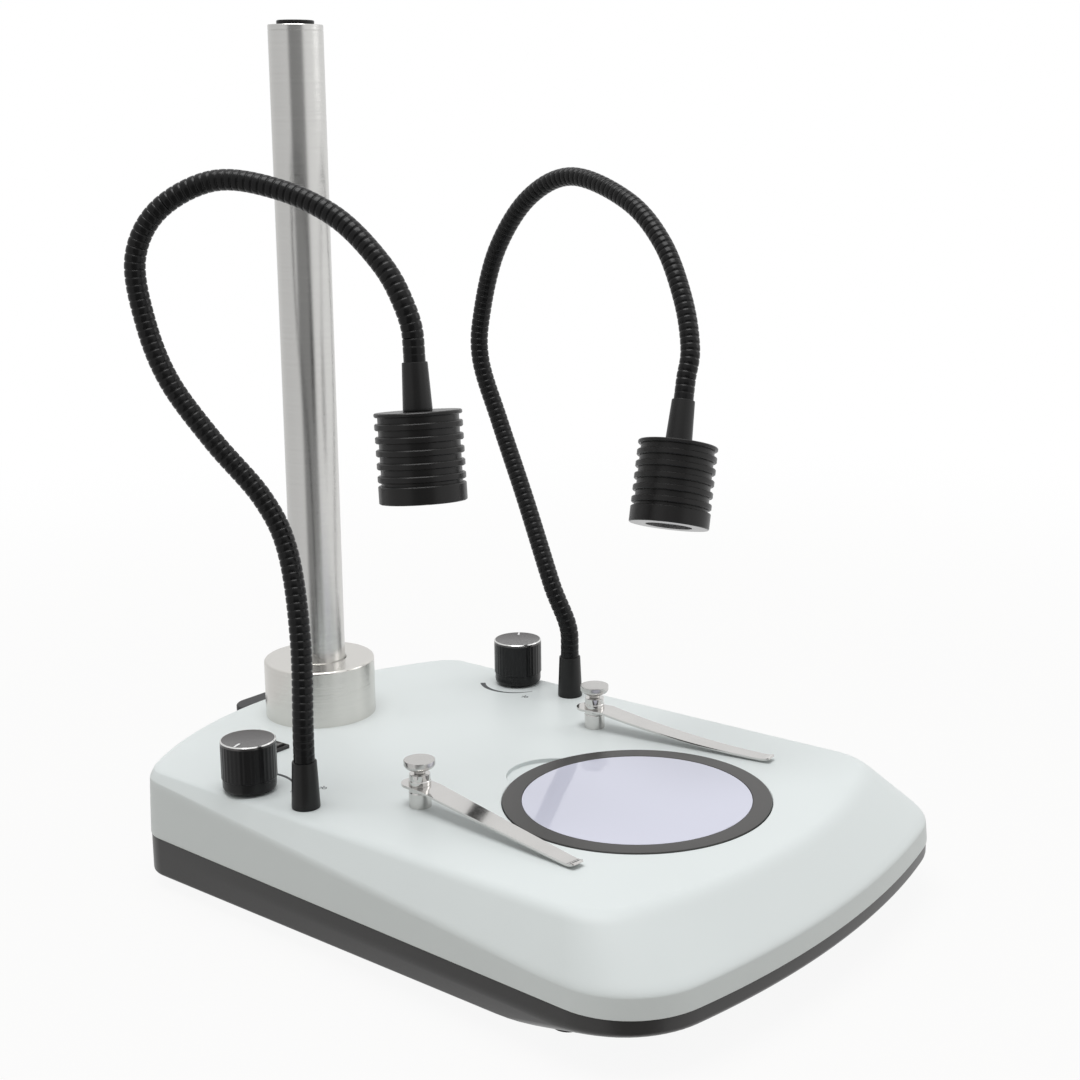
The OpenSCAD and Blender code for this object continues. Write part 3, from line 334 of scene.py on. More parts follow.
def turned_metal(name, colour, rough, seat, pitch, cut, metallic=1.0, gloss=0.5):
    """Lathe-turned metal: fine rings round the axis of its seat; cut is the tilt of their flanks"""
    material, shader, place = finish(name, Metallic=metallic, Specular_IOR_Level=gloss)
    turn = seat.to_euler()
    local = place.node(
        "ShaderNodeMapping",
        {"vector_type": "TEXTURE"},
        {"Vector": place, "Location": seat.translation * MM, "Rotation": tuple(turn)},
    )
    radius = local.vector("MULTIPLY", (1.0, 1.0, 0.0)).vector("LENGTH", (0.0, 0.0, 0.0), "Value")
    height = local.node("ShaderNodeSeparateXYZ", None, {"Vector": local}, out="Z")
    along = radius + height
    fine = along.lines(pitch)
    broad = along.lines(pitch / 9.0)
    smudge = place.noise(60.0, 3.0)
    feed(
        shader,
        Base_Color=(broad * 0.6 + smudge * 0.4).between(shade(colour, 0.94), shade(colour, 1.05)),
        Roughness=rough + 0.06 * (fine - 0.5) + 0.05 * (broad - 0.5) + 0.06 * (smudge - 0.5),
        Normal=fine.bump(1.0, cut / pitch),
    )
    return material


def plated(name, colour, rough):
    """Bright plating with faint smears"""
    material, shader, place = finish(name, Metallic=1.0)
    smear = place.noise(95.0, 4.0)
    haze = place.noise(1400.0, 2.0)
    feed(
        shader,
        Base_Color=smear.between(shade(colour, 0.93), shade(colour, 1.05)),
        Roughness=rough + 0.10 * (smear - 0.45) + 0.05 * (haze - 0.5),
        Normal=haze.bump(0.06, 0.00001),
    )
    return material


def opal_glass(name, colour):
    """Polished opal glass with a little dust"""
    material, shader, place = finish(name, IOR=1.52)
    cloud = place.noise(22.0)
    dust = place.noise(3800.0, 1.0).step(0.66, 0.74)
    feed(
        shader,
        Base_Color=(cloud * 0.7 + dust * 0.3).between(shade(colour, 0.98), shade(colour, 1.03)),
        Roughness=0.035 + 0.03 * cloud + 0.20 * dust,
    )
    return material


def frosted_lens(name, colour):
    """Clear lens with a frosted face"""
    material, shader, place = finish(name, Transmission_Weight=0.4, IOR=1.49)
    frost = place.noise(2400.0, 2.0)
    cloud = place.noise(160.0, 2.0)
    feed(
        shader,
        Base_Color=cloud.between(shade(colour, 0.94), colour),
        Roughness=0.16 + 0.12 * frost,
        Normal=frost.bump(0.2, 0.00003),
    )
    return material


def printed_board(name, colour):
    """Circuit board: lacquer over faint tracks"""
    material, shader, place = finish(name)
    track = place.node(
        "ShaderNodeTexBrick",
        {"offset": 0.35},
        {"Vector": place, "Scale": 160.0, "Mortar Size": 0.03},
        out="Fac",
    )
    tone = place.noise(240.0, 2.0)
    feed(
        shader,
        Base_Color=(track * 0.6 + tone * 0.4).between(colour, shade(colour, 1.9)),
        Roughness=0.34 + 0.12 * tone,
        Normal=track.bump(0.3, 0.00005),
    )
    return material


def matt_white(name, colour, rough):
    """White plastic sheet with a soft grain"""
    material, shader, place = finish(name)
    cloud = place.noise(120.0, 3.0)
    grain = place.noise(3000.0, 2.0)
    feed(
        shader,
        Base_Color=cloud.between(shade(colour, 0.95), shade(colour, 1.03)),
        Roughness=rough + 0.1 * (grain - 0.5),
        Normal=grain.bump(0.12, 0.00003),
    )
    return material


# Shapes, in millimetres


def seat_of(node):
    """Middle in x and y, lowest and highest level of a node"""
    low, high = (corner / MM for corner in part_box(node))
    return (low.x + high.x) / 2, (low.y + high.y) / 2, low.z, high.z


def upright(x, y):
    return Matrix.Translation((x, y, 0.0))


def head_seat(side):
    """Place of a lamp head's own axis"""
    centre, lean, turn = LAMPS[side]
    turned_seat = Matrix.Translation(centre) @ Matrix.Rotation(radians(turn), 4, "Z")
    return turned_seat @ Matrix.Rotation(radians(lean), 4, "Y")


def round_edges(bm, width, least=30.0, segments=2):
    """Rounds every edge that turns by more than the least angle"""
    sharp = [e for e in bm.edges if len(e.link_faces) == 2 and e.calc_face_angle() > radians(least)]
    bmesh.ops.bevel(
        bm, geom=sharp, offset=width, offset_type="OFFSET", segments=segments, profile=0.5, affect="EDGES",
        material=-1, clamp_overlap=True,
    )


def turned(profile, width=0.3, closed=False, steps=96, segments=2):
    """Spins a profile of radius and height round the z axis"""
    bm = bmesh.new()
    verts = [bm.verts.new((r, 0.0, z)) for r, z in profile]
    edges = [bm.edges.new(pair) for pair in zip(verts, verts[1:])]
    if closed:
        edges.append(bm.edges.new((verts[-1], verts[0])))
    bmesh.ops.spin(
        bm, geom=verts + edges, cent=(0, 0, 0), axis=(0, 0, 1), dvec=(0, 0, 0), angle=2 * pi, steps=steps,
        use_merge=True,
    )
    bmesh.ops.remove_doubles(bm, verts=bm.verts, dist=0.0005)
    bmesh.ops.recalc_face_normals(bm, faces=bm.faces)
    if width:
        round_edges(bm, width, segments=segments)
    return bm


def block(w, l, h, width=0.0, segments=2):
    """Block standing on z = 0"""
    bm = bmesh.new()
    bmesh.ops.create_cube(bm, size=1.0)
    bmesh.ops.scale(bm, vec=(w, l, h), verts=bm.verts)
    bmesh.ops.translate(bm, vec=(0, 0, h / 2), verts=bm.verts)
    if width:
        round_edges(bm, width, segments=segments)
    return bm


def placed(bm, seat):
    bmesh.ops.transform(bm, matrix=seat, verts=bm.verts)
    return bm


def points_of(geom):
    return [g for g in geom if isinstance(g, bmesh.types.BMVert)]


def drawn_on(bm, edges):
    """Draws edges on by one step; returns the new points and the new edges along them"""
    grown = bmesh.ops.extrude_edge_only(bm, edges=edges)["geom"]
    points = points_of(grown)
    fresh = set(points)
    return points, [g for g in grown if isinstance(g, bmesh.types.BMEdge) and set(g.verts) <= fresh]


def joined(parts):
    """One shape from several"""
    whole = bmesh.new()
    for part in parts:
        mesh = bpy.data.meshes.new("part")
        part.to_mesh(mesh)
        part.free()
        whole.from_mesh(mesh)
        bpy.data.meshes.remove(mesh)
    return whole


def outline(plan, level):
    """Ring of points round a plan: two bows, four corners and two straight sides; level gives z from y"""
    front_w, rear_w, front_y, front_bow, front_r, rear_y, rear_bow, rear_r = plan
    along = Vector((rear_w - front_w, SIDE_REAR - SIDE_FRONT)).normalized()
    out = Vector((along.y, -along.x))

    def corner(r, bow, middle, end):
        start = Vector((front_w, SIDE_FRONT)) - r * out - middle
        b = start.dot(along)
        return start + along * (end * sqrt(b * b - start.length_squared + (bow - r) ** 2) - b) + middle

    def arc(middle, r, a, b, n):
        turns = [a + (b - a) * i / n for i in range(n + 1)]
        return [middle + r * Vector((cos(turn), sin(turn))) for turn in turns]

    front_mid = Vector((0.0, front_y + front_bow))
    rear_mid = Vector((0.0, rear_y - rear_bow))
    front_c = corner(front_r, front_bow, front_mid, -1)
    rear_c = corner(rear_r, rear_bow, rear_mid, 1)
    side = atan2(out.y, out.x)
    front_end = atan2(front_c.y - front_mid.y, front_c.x)
    rear_end = atan2(rear_c.y - rear_mid.y, rear_c.x)
    front_side, rear_side = front_c + front_r * out, rear_c + rear_r * out
    half = arc(front_mid, front_bow, -pi / 2, front_end, 16)[:-1]
    half += arc(front_c, front_r, front_end, side, 16)[:-1]
    half += [front_side.lerp(rear_side, i / 16) for i in range(16)]
    half += arc(rear_c, rear_r, side, rear_end, 12)[:-1]
    half += arc(rear_mid, rear_bow, rear_end, pi / 2, 14)
    whole = half + [Vector((-p.x, p.y)) for p in half[-2:0:-1]]
    return [Vector((p.x, p.y, level(p.y) if callable(level) else level)) for p in whole]


def inset(plan, d):
    """Plan drawn in by d: only the front edge, whose place is negative, moves the other way"""
    return [value + d if value < 0 else value - d for value in plan]


def wall_top(y):
    """Height of the housing's wall at y"""
    share = max(0.0, min(1.0, (y - SIDE_FRONT) / (SIDE_REAR - SIDE_FRONT)))
    return SEAM_Z + WALL_FRONT + (WALL_REAR - WALL_FRONT) * share


def blended(a, b, share):
    return [p.lerp(q, share) for p, q in zip(a, b)]


def rounded(a, b, c, n):
    """Rings of a round from ring a to ring c under the corner ring b, both ends left out"""
    rings = []
    for i in range(1, n):
        t = i / n
        rings.append([p * (1 - t) ** 2 + q * 2 * t * (1 - t) + r * t * t for p, q, r in zip(a, b, c)])
    return rings


def lofted(rings):
    """Closed skin over rings with equal counts"""
    bm = bmesh.new()
    loops = []
    for ring in rings:
        verts = [bm.verts.new(p) for p in ring]
        loops.append([bm.edges.new(pair) for pair in zip(verts, verts[1:] + verts[:1])])
    for low, high in zip(loops, loops[1:]):
        bmesh.ops.bridge_loops(bm, edges=low + high)
    for end in (loops[0], loops[-1]):
        bmesh.ops.edgeloop_fill(bm, edges=end)
    bmesh.ops.recalc_face_normals(bm, faces=bm.faces)
    return bm


def in_scene(name, bm):
    """Object of a shape, in metres"""
    bmesh.ops.scale(bm, vec=(MM, MM, MM), verts=bm.verts)
    mesh = bpy.data.meshes.new(name)
    bm.to_mesh(mesh)
    bm.free()
    made = bpy.data.objects.new(name, mesh)
    bpy.context.scene.collection.objects.link(made)
    return made


def piece(name, bm, materials, body=None, nodes=(), cutters=(), sharp=40.0, even=True):
    """Puts a shape in the scene with its finish; it rides on a body and stands for its nodes"""
    made = in_scene(name, bm)
    tools = [in_scene("cutter", cutter) for cutter in cutters]
    for tool in tools:
        cut = made.modifiers.new("Cut", "BOOLEAN")
        cut.operation = "DIFFERENCE"
        cut.solver = "EXACT"
        cut.object = tool
    if tools:
        graph = bpy.context.evaluated_depsgraph_get()
        plain = made.data
        made.data = bpy.data.meshes.new_from_object(made.evaluated_get(graph))
        made.data.name = name
        made.modifiers.clear()
        bpy.data.meshes.remove(plain)
        for tool in tools:
            shape = tool.data
            bpy.data.objects.remove(tool)
            bpy.data.meshes.remove(shape)
        made.data.materials.clear()
    for material in materials if isinstance(materials, (list, tuple)) else [materials]:
        made.data.materials.append(material)
    made.data.shade_smooth()
    made.data.set_sharp_from_angle(angle=radians(sharp))
    if even:
        normals = made.modifiers.new("Even normals", "WEIGHTED_NORMAL")
        normals.keep_sharp = True
    if body:
        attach(made, body)
    if nodes:
        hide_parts(*nodes)
    return made


def dress(material, *nodes):
    """Gives nodes that stay as they are their finish"""
    for node in nodes:
        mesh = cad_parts[node].data
        mesh.materials.clear()
        mesh.materials.append(material)


# Necks


def neck_stations(side, pitch, phases):
    """Points along a gooseneck for each phase of each rib, their count below its bend, and the bend's ends"""
    x, y, _, top = seat_of(f"{side}_neck_boot")
    seat = head_seat(side)
    up = (seat.to_3x3() @ Vector((0, 0, 1))).normalized()
    start, end = Vector((x, y, top)), seat @ Vector((0, 0, LAMP_HALF + LAMP_BOOT))
    stub = 2 * HOSE_R
    way = [start + Vector((0, 0, stub))] + [Vector(p) for p in NECKS[side]] + [end + stub * up]
    lean = [(b - a) / 2 for a, b in zip(way, way[2:])]
    lean = [Vector((0, 0, (way[1] - way[0]).length))] + lean + [-up * (way[-1] - way[-2]).length]
    line = [start]
    for p, q, u, v in zip(way, way[1:], lean, lean[1:]):
        line += interpolate_bezier(p, p + u / 3, q - v / 3, q, 25)[:-1]
    line += [way[-1], end]
    run = [0.0]
    for p, q in zip(line, line[1:]):
        run.append(run[-1] + (q - p).length)
    ribs = round(run[-1] / pitch)
    split = round(ribs * (1 - UPPER_SHARE[side]))

    def at(s):
        i = next((k for k in range(1, len(run)) if run[k] >= s), len(run) - 1)
        return line[i - 1].lerp(line[i], (s - run[i - 1]) / max(run[i] - run[i - 1], 1e-9))

    step = run[-1] / ribs
    marks = [(k + phase) * step for k in range(ribs) for phase in phases] + [run[-1]]
    return [at(min(s, run[-1])) for s in marks], split * len(phases), at(split * step), end


def ribbed(points, radii, sides=20):
    """Tube through points: one ring, drawn on from point to point"""
    bm = bmesh.new()
    ring = bmesh.ops.create_circle(bm, cap_ends=False, radius=1.0, segments=sides)["verts"]
    edges = list({e for v in ring for e in v.link_edges})
    bmesh.ops.edgeloop_fill(bm, edges=edges)
    last = Matrix.Identity(4)
    turn = (points[1] - points[0]).to_track_quat("Z", "Y")
    for i, (p, r) in enumerate(zip(points, radii)):
        along = points[min(i + 1, len(points) - 1)] - points[max(i - 1, 0)]
        turn = (turn @ Vector((0, 0, 1))).rotation_difference(along) @ turn
        here = Matrix.Translation(p) @ turn.to_matrix().to_4x4() @ Matrix.Scale(r, 4)
        if i:
            ring, edges = drawn_on(bm, edges)
        bmesh.ops.transform(bm, matrix=here @ last.inverted(), verts=ring)
        last = here
    bmesh.ops.edgeloop_fill(bm, edges=edges)
    bmesh.ops.recalc_face_normals(bm, faces=bm.faces)
    return bm


# Operators


class STAND_OT_housing(bpy.types.Operator):
    """Lofts the painted top housing, cuts its openings and prints the dimmer marks on it"""

    bl_idname = "stand.housing"
    bl_label = "Top housing"

    def execute(self, context):
        sizes, colours = context.scene.stand_sizes, context.scene.stand_colours
        inner = inset(SEAM_PLAN, WALL)
        foot = outline(SEAM_PLAN, SEAM_Z)
        wall = outline(inset(SEAM_PLAN, 0.8), wall_top)
        edge = outline(TOP_PLAN, TOP_Z)
        flat = outline(inset(TOP_PLAN, 3.4), TOP_Z)
        low = blended(foot, wall, 0.86)
        slope_low = blended(wall, edge, 0.12)
        slope_high = blended(wall, edge, 0.83)
        lip = outline(inset(SEAM_PLAN, 0.5), SEAM_Z)
        rings = [
            outline(inset(TOP_PLAN, WALL), TOP_Z - WALL),
            outline(inset(inner, 0.8), lambda y: wall_top(y) - WALL),
            outline(inner, SEAM_Z),
            lip,
            *rounded(lip, foot, blended(foot, wall, 0.05), 3),
            blended(foot, wall, 0.05),
            low,
            *rounded(low, wall, slope_low, 6),
            slope_low,
            blended(wall, edge, 0.5),
            slope_high,
            *rounded(slope_high, edge, flat, 6),
            flat,
            outline(inset(TOP_PLAN, 4.0), TOP_Z),
            outline(inset(TOP_PLAN, 7.0), TOP_Z),
        ]
        stage_x, stage_y, seat_z, _ = seat_of("stage_ring")
        over, wide, well = TOP_Z + 3, STAGE_R + 0.3, STAGE_R - 5.3
        recess = turned(
            [(0, seat_z - 9), (well, seat_z - 9), (well, seat_z), (wide, seat_z), (wide, TOP_Z - 0.3),
             (wide + 0.4, TOP_Z + 0.1), (wide + 0.4, over), (0, over)], width=0, steps=160,
        )
        notch = turned(
            [(0, TOP_Z - 2), (20.2, TOP_Z - 2), (20.5, TOP_Z - 1.7), (20.5, TOP_Z - 0.2), (20.8, TOP_Z + 0.1),
             (20.8, over), (0, over)], width=0,
        )
        switch_x, switch_y, _, _ = seat_of("switch_bezel")
        slit = block(13.2, 19.2, 12)
        window = block(26.4, 12, 16.4)
        piece(
            "housing_shell", lofted(rings), sprayed_paint("housing paint", colours.paint, 0.40, 0.16, 0.25),
            "base", ["top_housing"],
            [
                placed(recess, upright(stage_x, stage_y)),
                placed(notch, upright(stage_x, stage_y + 46.5)),
                placed(slit, Matrix.Translation((switch_x, switch_y, 45))),
                placed(window, Matrix.Translation((0, 161, 31.3))),
            ],
            sharp=32.0,
        )
        ink = moulded("printed ink", colours.ink, 0.45, 0.05)
        high = sizes.print_height / MM
        for side, sign in SIDES:
            x, y, _, _ = seat_of(f"{side}_knob")
            arc_r, dx, dy = KNOB_PRINT[side]
            swell = placed(self.swell(sign, arc_r, high), upright(x, y))
            piece(f"{side}_dimmer_arc", swell, ink, "base", even=False)
            sign_mark = placed(self.lamp_mark(high), upright(x + dx, y + dy))
            piece(f"{side}_lamp_mark", sign_mark, ink, "base", even=False)
        return {"FINISHED"}

    def swell(self, sign, r, high):
        """Arc beside a knob that grows thicker from one end to the other"""
        steps, thin, growth = 32, 0.2, 2.4
        start, sweep = (245.0, -114.0) if sign > 0 else (295.0, 114.0)
        bm = bmesh.new()
        inner = bm.verts.new((r, 0, TOP_Z))
        outer = bm.verts.new((r + thin, 0, TOP_Z))
        edges = [bm.edges.new((inner, outer))]
        first = Matrix.Rotation(radians(start), 3, "Z")
        bmesh.ops.rotate(bm, cent=(0, 0, 0), matrix=first, verts=[inner, outer])
        step = Matrix.Rotation(radians(sweep) / steps, 3, "Z")
        for i in range(steps):
            ends, edges = drawn_on(bm, edges)
            bmesh.ops.rotate(bm, cent=(0, 0, 0), matrix=step, verts=ends)
            far = max(ends, key=lambda v: v.co.xy.length)
            far.co.xy = far.co.xy.normalized() * (r + thin + growth * (i + 1) / steps)
        bmesh.ops.recalc_face_normals(bm, faces=bm.faces)
        bmesh.ops.solidify(bm, geom=bm.faces, thickness=-high)
        bmesh.ops.recalc_face_normals(bm, faces=bm.faces)
        return bm

    def lamp_mark(self, high):
        """Small ring with three short rays"""
        top = TOP_Z + high
        parts = [turned([(0.75, TOP_Z), (1.15, TOP_Z), (1.15, top), (0.75, top)], 0, True, 24)]
        for turn in (-40.0, 0.0, 40.0):
            seat = Matrix.Rotation(radians(turn), 4, "Z") @ Matrix.Translation((0, 1.9, TOP_Z))
            parts.append(placed(block(0.42, 1.0, high), seat))
        return joined(parts)


class STAND_OT_pan(bpy.types.Operator):
    """Lofts the dark bottom pan and turns the rubber feet"""

    bl_idname = "stand.pan"
    bl_label = "Bottom pan and feet"

    def execute(self, context):
        colours = context.scene.stand_colours
        rim = inset(SEAM_PLAN, 0.4)
        floor = outline(PAN_PLAN, PAN_Z)
        band = outline(rim, BAND_Z)
        top = outline(rim, SEAM_Z)
        under = blended(floor, band, 0.82)
        upper = blended(band, top, 0.3)
        within = outline(inset(PAN_PLAN, 1.8), PAN_Z)
        heel = blended(floor, band, 0.14)
        lip = blended(band, top, 0.93)
        shy = outline(inset(rim, 0.5), SEAM_Z)
        rings = [
            outline(inset(PAN_PLAN, 6.0), PAN_Z),
            within,
            *rounded(within, floor, heel, 4),
            heel,
            under,
            *rounded(under, band, upper, 4),
            upper,
            lip,
            *rounded(lip, top, shy, 3),
            shy,
            outline(inset(SEAM_PLAN, WALL), SEAM_Z),
            outline(inset(SEAM_PLAN, WALL), BAND_Z + 2.0),
            outline(inset(PAN_PLAN, 5.0), PAN_Z + 2.5),
        ]
        paint = sprayed_paint("pan paint", colours.pan, 0.32, 0.5)
        piece("pan_shell", lofted(rings), paint, "base", ["bottom_pan"], sharp=32.0)
        rubber = moulded("foot rubber", colours.rubber, 0.62, 0.4, 1800.0)
        top = seat_of("rubber_feet")[3]
        foot = [(4.6, 0), (7, 0), (7, top), (2.6, top), (2.6, 1.8), (4.6, 1.8)]
        feet = joined([placed(turned(foot, 0.7, True, 48), upright(x, y)) for x, y in FEET])
        piece("feet_rubber", feet, rubber, "base", ["rubber_feet"])
        return {"FINISHED"}


class STAND_OT_post(bpy.types.Operator):
    """Turns the collar, the post and its cap"""

    bl_idname = "stand.post"
    bl_label = "Collar, post and cap"

    def execute(self, context):
        sizes, colours = context.scene.stand_sizes, context.scene.stand_colours
        x, y, foot, top = seat_of("post_collar")
        seat = upright(x, y)
        collar = turned(
            [(12.7, foot), (COLLAR_R, foot), (COLLAR_R, top - 1.1), (COLLAR_R - 0.1, top - 0.66),
             (COLLAR_R - 0.34, top - 0.32), (COLLAR_R - 0.68, top - 0.09), (COLLAR_R - 1.1, top), (13.4, top),
             (12.7, top - 0.7)], 0, True, 160,
        )
        hole = turned([(0, 0), (2.6, 0), (2.6, 30), (0, 30)], 0, steps=32)
        placed(hole, Matrix.Translation((0, 0, (foot + top) / 2)) @ Matrix.Rotation(-pi / 2, 4, "X"))
        piece(
            "collar_turned", placed(collar, seat),
            turned_metal("turned collar", colours.collar, 0.2, seat, 5200.0, 0.16), "base",
            ["post_collar"], [placed(hole, seat)],
        )
        high = seat_of("post")[3]
        groove = POST_R - sizes.post_groove / MM
        bar = turned(
            [(POST_BORE, top), (POST_R - 0.2, top - 20), (POST_R, top - 0.5), (POST_R, high - 2.8),
             (groove, high - 2.7), (groove, high - 2.4), (POST_R, high - 2.3), (POST_R, high - 0.25),
             (POST_R - 0.25, high), (POST_BORE, high)], 0, True, 128,
        )
        ground = turned_metal("ground post", colours.post, 0.22, seat, 6000.0, 0.16)
        piece("post_tube", placed(bar, seat), ground, "base", ["post"])
        crown = seat_of("post_cap")[3]
        stem = POST_BORE - 0.1
        cap = turned(
            [(0, high - 6), (stem, high - 6), (stem, high), (PLUG_R, high), (PLUG_R, crown), (0, crown)], 0.7
        )
        plastic = moulded("cap plastic", colours.plastic, 0.38, 0.2)
        piece("post_plug", placed(cap, seat), plastic, "base", ["post_cap"])
        return {"FINISHED"}


class STAND_OT_stage(bpy.types.Operator):
    """Turns the stage ring and its glass"""

    bl_idname = "stand.stage"
    bl_label = "Stage plate"

    def execute(self, context):
        sizes, colours = context.scene.stand_sizes, context.scene.stand_colours
        x, y, low, high = seat_of("stage_ring")
        _, _, under, over = seat_of("stage_glass")
        seat = upright(x, y)
        ring = turned(
            [(STAGE_BORE, low), (STAGE_R, low), (STAGE_R, high), (GLASS_SEAT_R, high), (GLASS_SEAT_R, under),
             (STAGE_BORE, under)], sizes.edge_round / MM, True, 192,
        )
        anodised = turned_metal("stage ring", colours.ring, 0.34, seat, 4000.0, 0.06)
        piece("stage_rim", placed(ring, seat), anodised, "stage_plate", ["stage_ring"])
        glass_r = GLASS_SEAT_R - 0.1
        disc = turned([(0, under), (glass_r, under), (glass_r, over), (0, over)], 0.25, steps=192)
        opal = opal_glass("stage glass", colours.glass)
        piece("stage_disc", placed(disc, seat), opal, "stage_plate", ["stage_glass"])
        return {"FINISHED"}


class STAND_OT_clips(bpy.types.Operator):
    """Makes the stage clips: posts, spring blades, collars and thumb screws"""

    bl_idname = "stand.clips"
    bl_label = "Stage clips"

    def execute(self, context):
        colours = context.scene.stand_colours
        bright = plated("clip plating", colours.chrome, 0.07)
        satin = plated("thumb screw plating", shade(colours.chrome, 0.9), 0.24)
        groove = CLIP_R - 0.25
        for side, sign in SIDES:
            x, y, _, blade_z = seat_of(f"{side}_clip_post")
            seat = upright(x, y)
            post = turned(
                [(0, 50), (3, 50), (3, TOP_Z), (CLIP_R, TOP_Z), (CLIP_R, blade_z - 2.2),
                 (groove, blade_z - 2.0), (groove, blade_z - 1.6), (CLIP_R, blade_z - 1.4), (CLIP_R, blade_z),
                 (0, blade_z)], 0.2, steps=72,
            )
            piece(f"{side}_clip_sleeve", placed(post, seat), bright, "base", [f"{side}_clip_post"])
            turn = Matrix.Rotation(radians(-90 + sign * 6.3), 4, "Z")
            blade = self.blade(1.05 if side == "left" else 1.9)
            placed(blade, Matrix.Translation((x, y, blade_z + 0.5)) @ turn)
            piece(f"{side}_spring_blade", blade, bright, f"{side}_clip", [f"{side}_clip_blade"])
            _, _, low, high = seat_of(f"{side}_clip_collar")
            collar = turned(
                [(1.7, low), (4.75, low), (4.75, high - 2.9), (4.5, high - 2.75), (4.5, high), (1.7, high)],
                0.15, True, 72,
            )
            clip = f"{side}_clip"
            piece(f"{side}_blade_collar", placed(collar, seat), bright, clip, [f"{clip}_collar"])
            top = seat_of(f"{side}_clip_screw")[3]
            screw = turned(
                [(0, low - 6), (1.5, low - 6), (1.5, high), (2.5, high), (2.5, high + 1.5), (4.6, high + 2.1),
                 (6.0, high + 2.9), (6.7, high + 3.9), (6.7, top), (0, top)], 0.35, steps=96,
            )
            node = f"{side}_clip_screw"
            piece(f"{side}_thumb_screw", placed(screw, seat), satin, node, [node])
        return {"FINISHED"}

    def blade(self, bend):
        """Sprung strip along +x: round tail, flat, long drop and turned-up tip; bend 1 drops straight"""
        tail_x, flat_end, drop_end, tip_x, tip_end = -3.0, 7.0, 89.5, 92.0, 93.5
        tail_half, tip_half, drop = 6.0, 3.3, 7.9
        tip_round = tip_end - tip_x

        def rise(s):
            if s < flat_end:
                return 0.0
            if s < drop_end:
                return -drop * (1 - (1 - (s - flat_end) / (drop_end - flat_end)) ** bend)
            return -drop + ((s - drop_end) / 4.0) ** 2

        def half(s):
            taper = tail_half + (tip_half - tail_half) * (s - tail_x) / (tip_end - tail_x)
            if s < tail_x:
                return sqrt(max(tail_half**2 - (s - tail_x) ** 2, 0.04))
            if s < tip_x:
                return taper
            return taper - tip_round + sqrt(max(tip_round**2 - (s - tip_x) ** 2, 0.0))

        tail = [tail_x - tail_half * cos(pi * i / 20) for i in range(10)]
        stops = tail + [tail_x + 1.6 * i for i in range(6)] + [6.0 + 1.0 * i for i in range(4)]
        stops += [10.5 + 1.75 * i for i in range(46)] + [90.3, 91.2, 92.0, 92.4, 92.8, 93.1, 93.4]
        bm = bmesh.new()
        edges = [bm.edges.new([bm.verts.new((stops[0], k * half(stops[0]), 0)) for k in (-1, 1)])]
        for s in stops[1:]:
            ends, edges = drawn_on(bm, edges)
            for end in ends:
                end.co = (s, half(s) if end.co.y > 0 else -half(s), rise(s))
        bmesh.ops.translate(bm, vec=(0, 0, 0.5), verts=bm.verts)
        bmesh.ops.recalc_face_normals(bm, faces=bm.faces)
        if next(iter(bm.faces)).normal.z < 0:
            bmesh.ops.reverse_faces(bm, faces=bm.faces)
        bmesh.ops.solidify(bm, geom=bm.faces, thickness=1.0)
        bmesh.ops.recalc_face_normals(bm, faces=bm.faces)
        round_edges(bm, 0.16, 50.0)
        return bm


class STAND_OT_knobs(bpy.types.Operator):
    """Turns the dimmer knobs with their flutes, spun caps and pointer marks"""

    bl_idname = "stand.knobs"
    bl_label = "Dimmer knobs"

    def execute(self, context):
        sizes, colours = context.scene.stand_sizes, context.scene.stand_colours
        gloss = moulded("knob gloss", colours.knob, 0.30, 0.05, gloss=0.3)
        rim = plated("knob rim", colours.rim, 0.16)
        mark = matt_white("pointer paint", colours.mark, 0.5)
        flutes, deep = sizes.flute_count, sizes.flute_depth / MM
        for side, sign in SIDES:
            x, y, low, high = seat_of(f"{side}_knob")
            seat = upright(x, y)
            body = turned(
                [(0, low), (9.6, low), (10.7, low + 0.35), (11.35, low + 1.1), (11.6, low + 2.2),
                 (11.6, low + 5.5), (KNOB_R, low + 5.9), (KNOB_R, low + 6.4), (KNOB_R, high - 0.4),
                 (KNOB_R, high), (0, high)], 0, steps=flutes * 6,
            )
            for v in body.verts:
                if v.co.xy.length > KNOB_R - 0.1 and low + 6.2 < v.co.z < high - 0.2:
                    wave = 0.5 - 0.5 * cos(flutes * atan2(v.co.y, v.co.x))
                    v.co.xy = v.co.xy.normalized() * (KNOB_R - deep * wave)
            knob = f"{side}_knob"
            piece(f"{knob}_body", placed(body, seat), gloss, knob, [knob])
            top = seat_of(f"{side}_knob_cap")[3]
            cap = turned(
                [(0, high), (KNOB_R, high), (KNOB_R, top - 0.45), (11.6, top), (11.4, top - 0.05),
                 (0, top - 0.15)], 0,
            )
            for face in cap.faces:
                middle = face.calc_center_median()
                face.material_index = int(middle.xy.length > 11.45 and middle.z > top - 0.3)
            spun = turned_metal(f"{side} knob cap", colours.cap, 0.24, seat, 4200.0, 0.16)
            piece(
                f"{side}_knob_disc", placed(cap, seat), [spun, rim], f"{side}_knob",
                [f"{side}_knob_cap"], sharp=25.0, even=False,
            )
            line = block(4.4, 1.0, 0.25, 0.1)
            turn = radians(197.0 if sign < 0 else 36.0)
            placed(line, seat @ Matrix.Rotation(turn, 4, "Z") @ Matrix.Translation((8.9, 0, top - 0.2)))
            piece(f"{side}_knob_pointer", line, mark, f"{side}_knob")
        return {"FINISHED"}


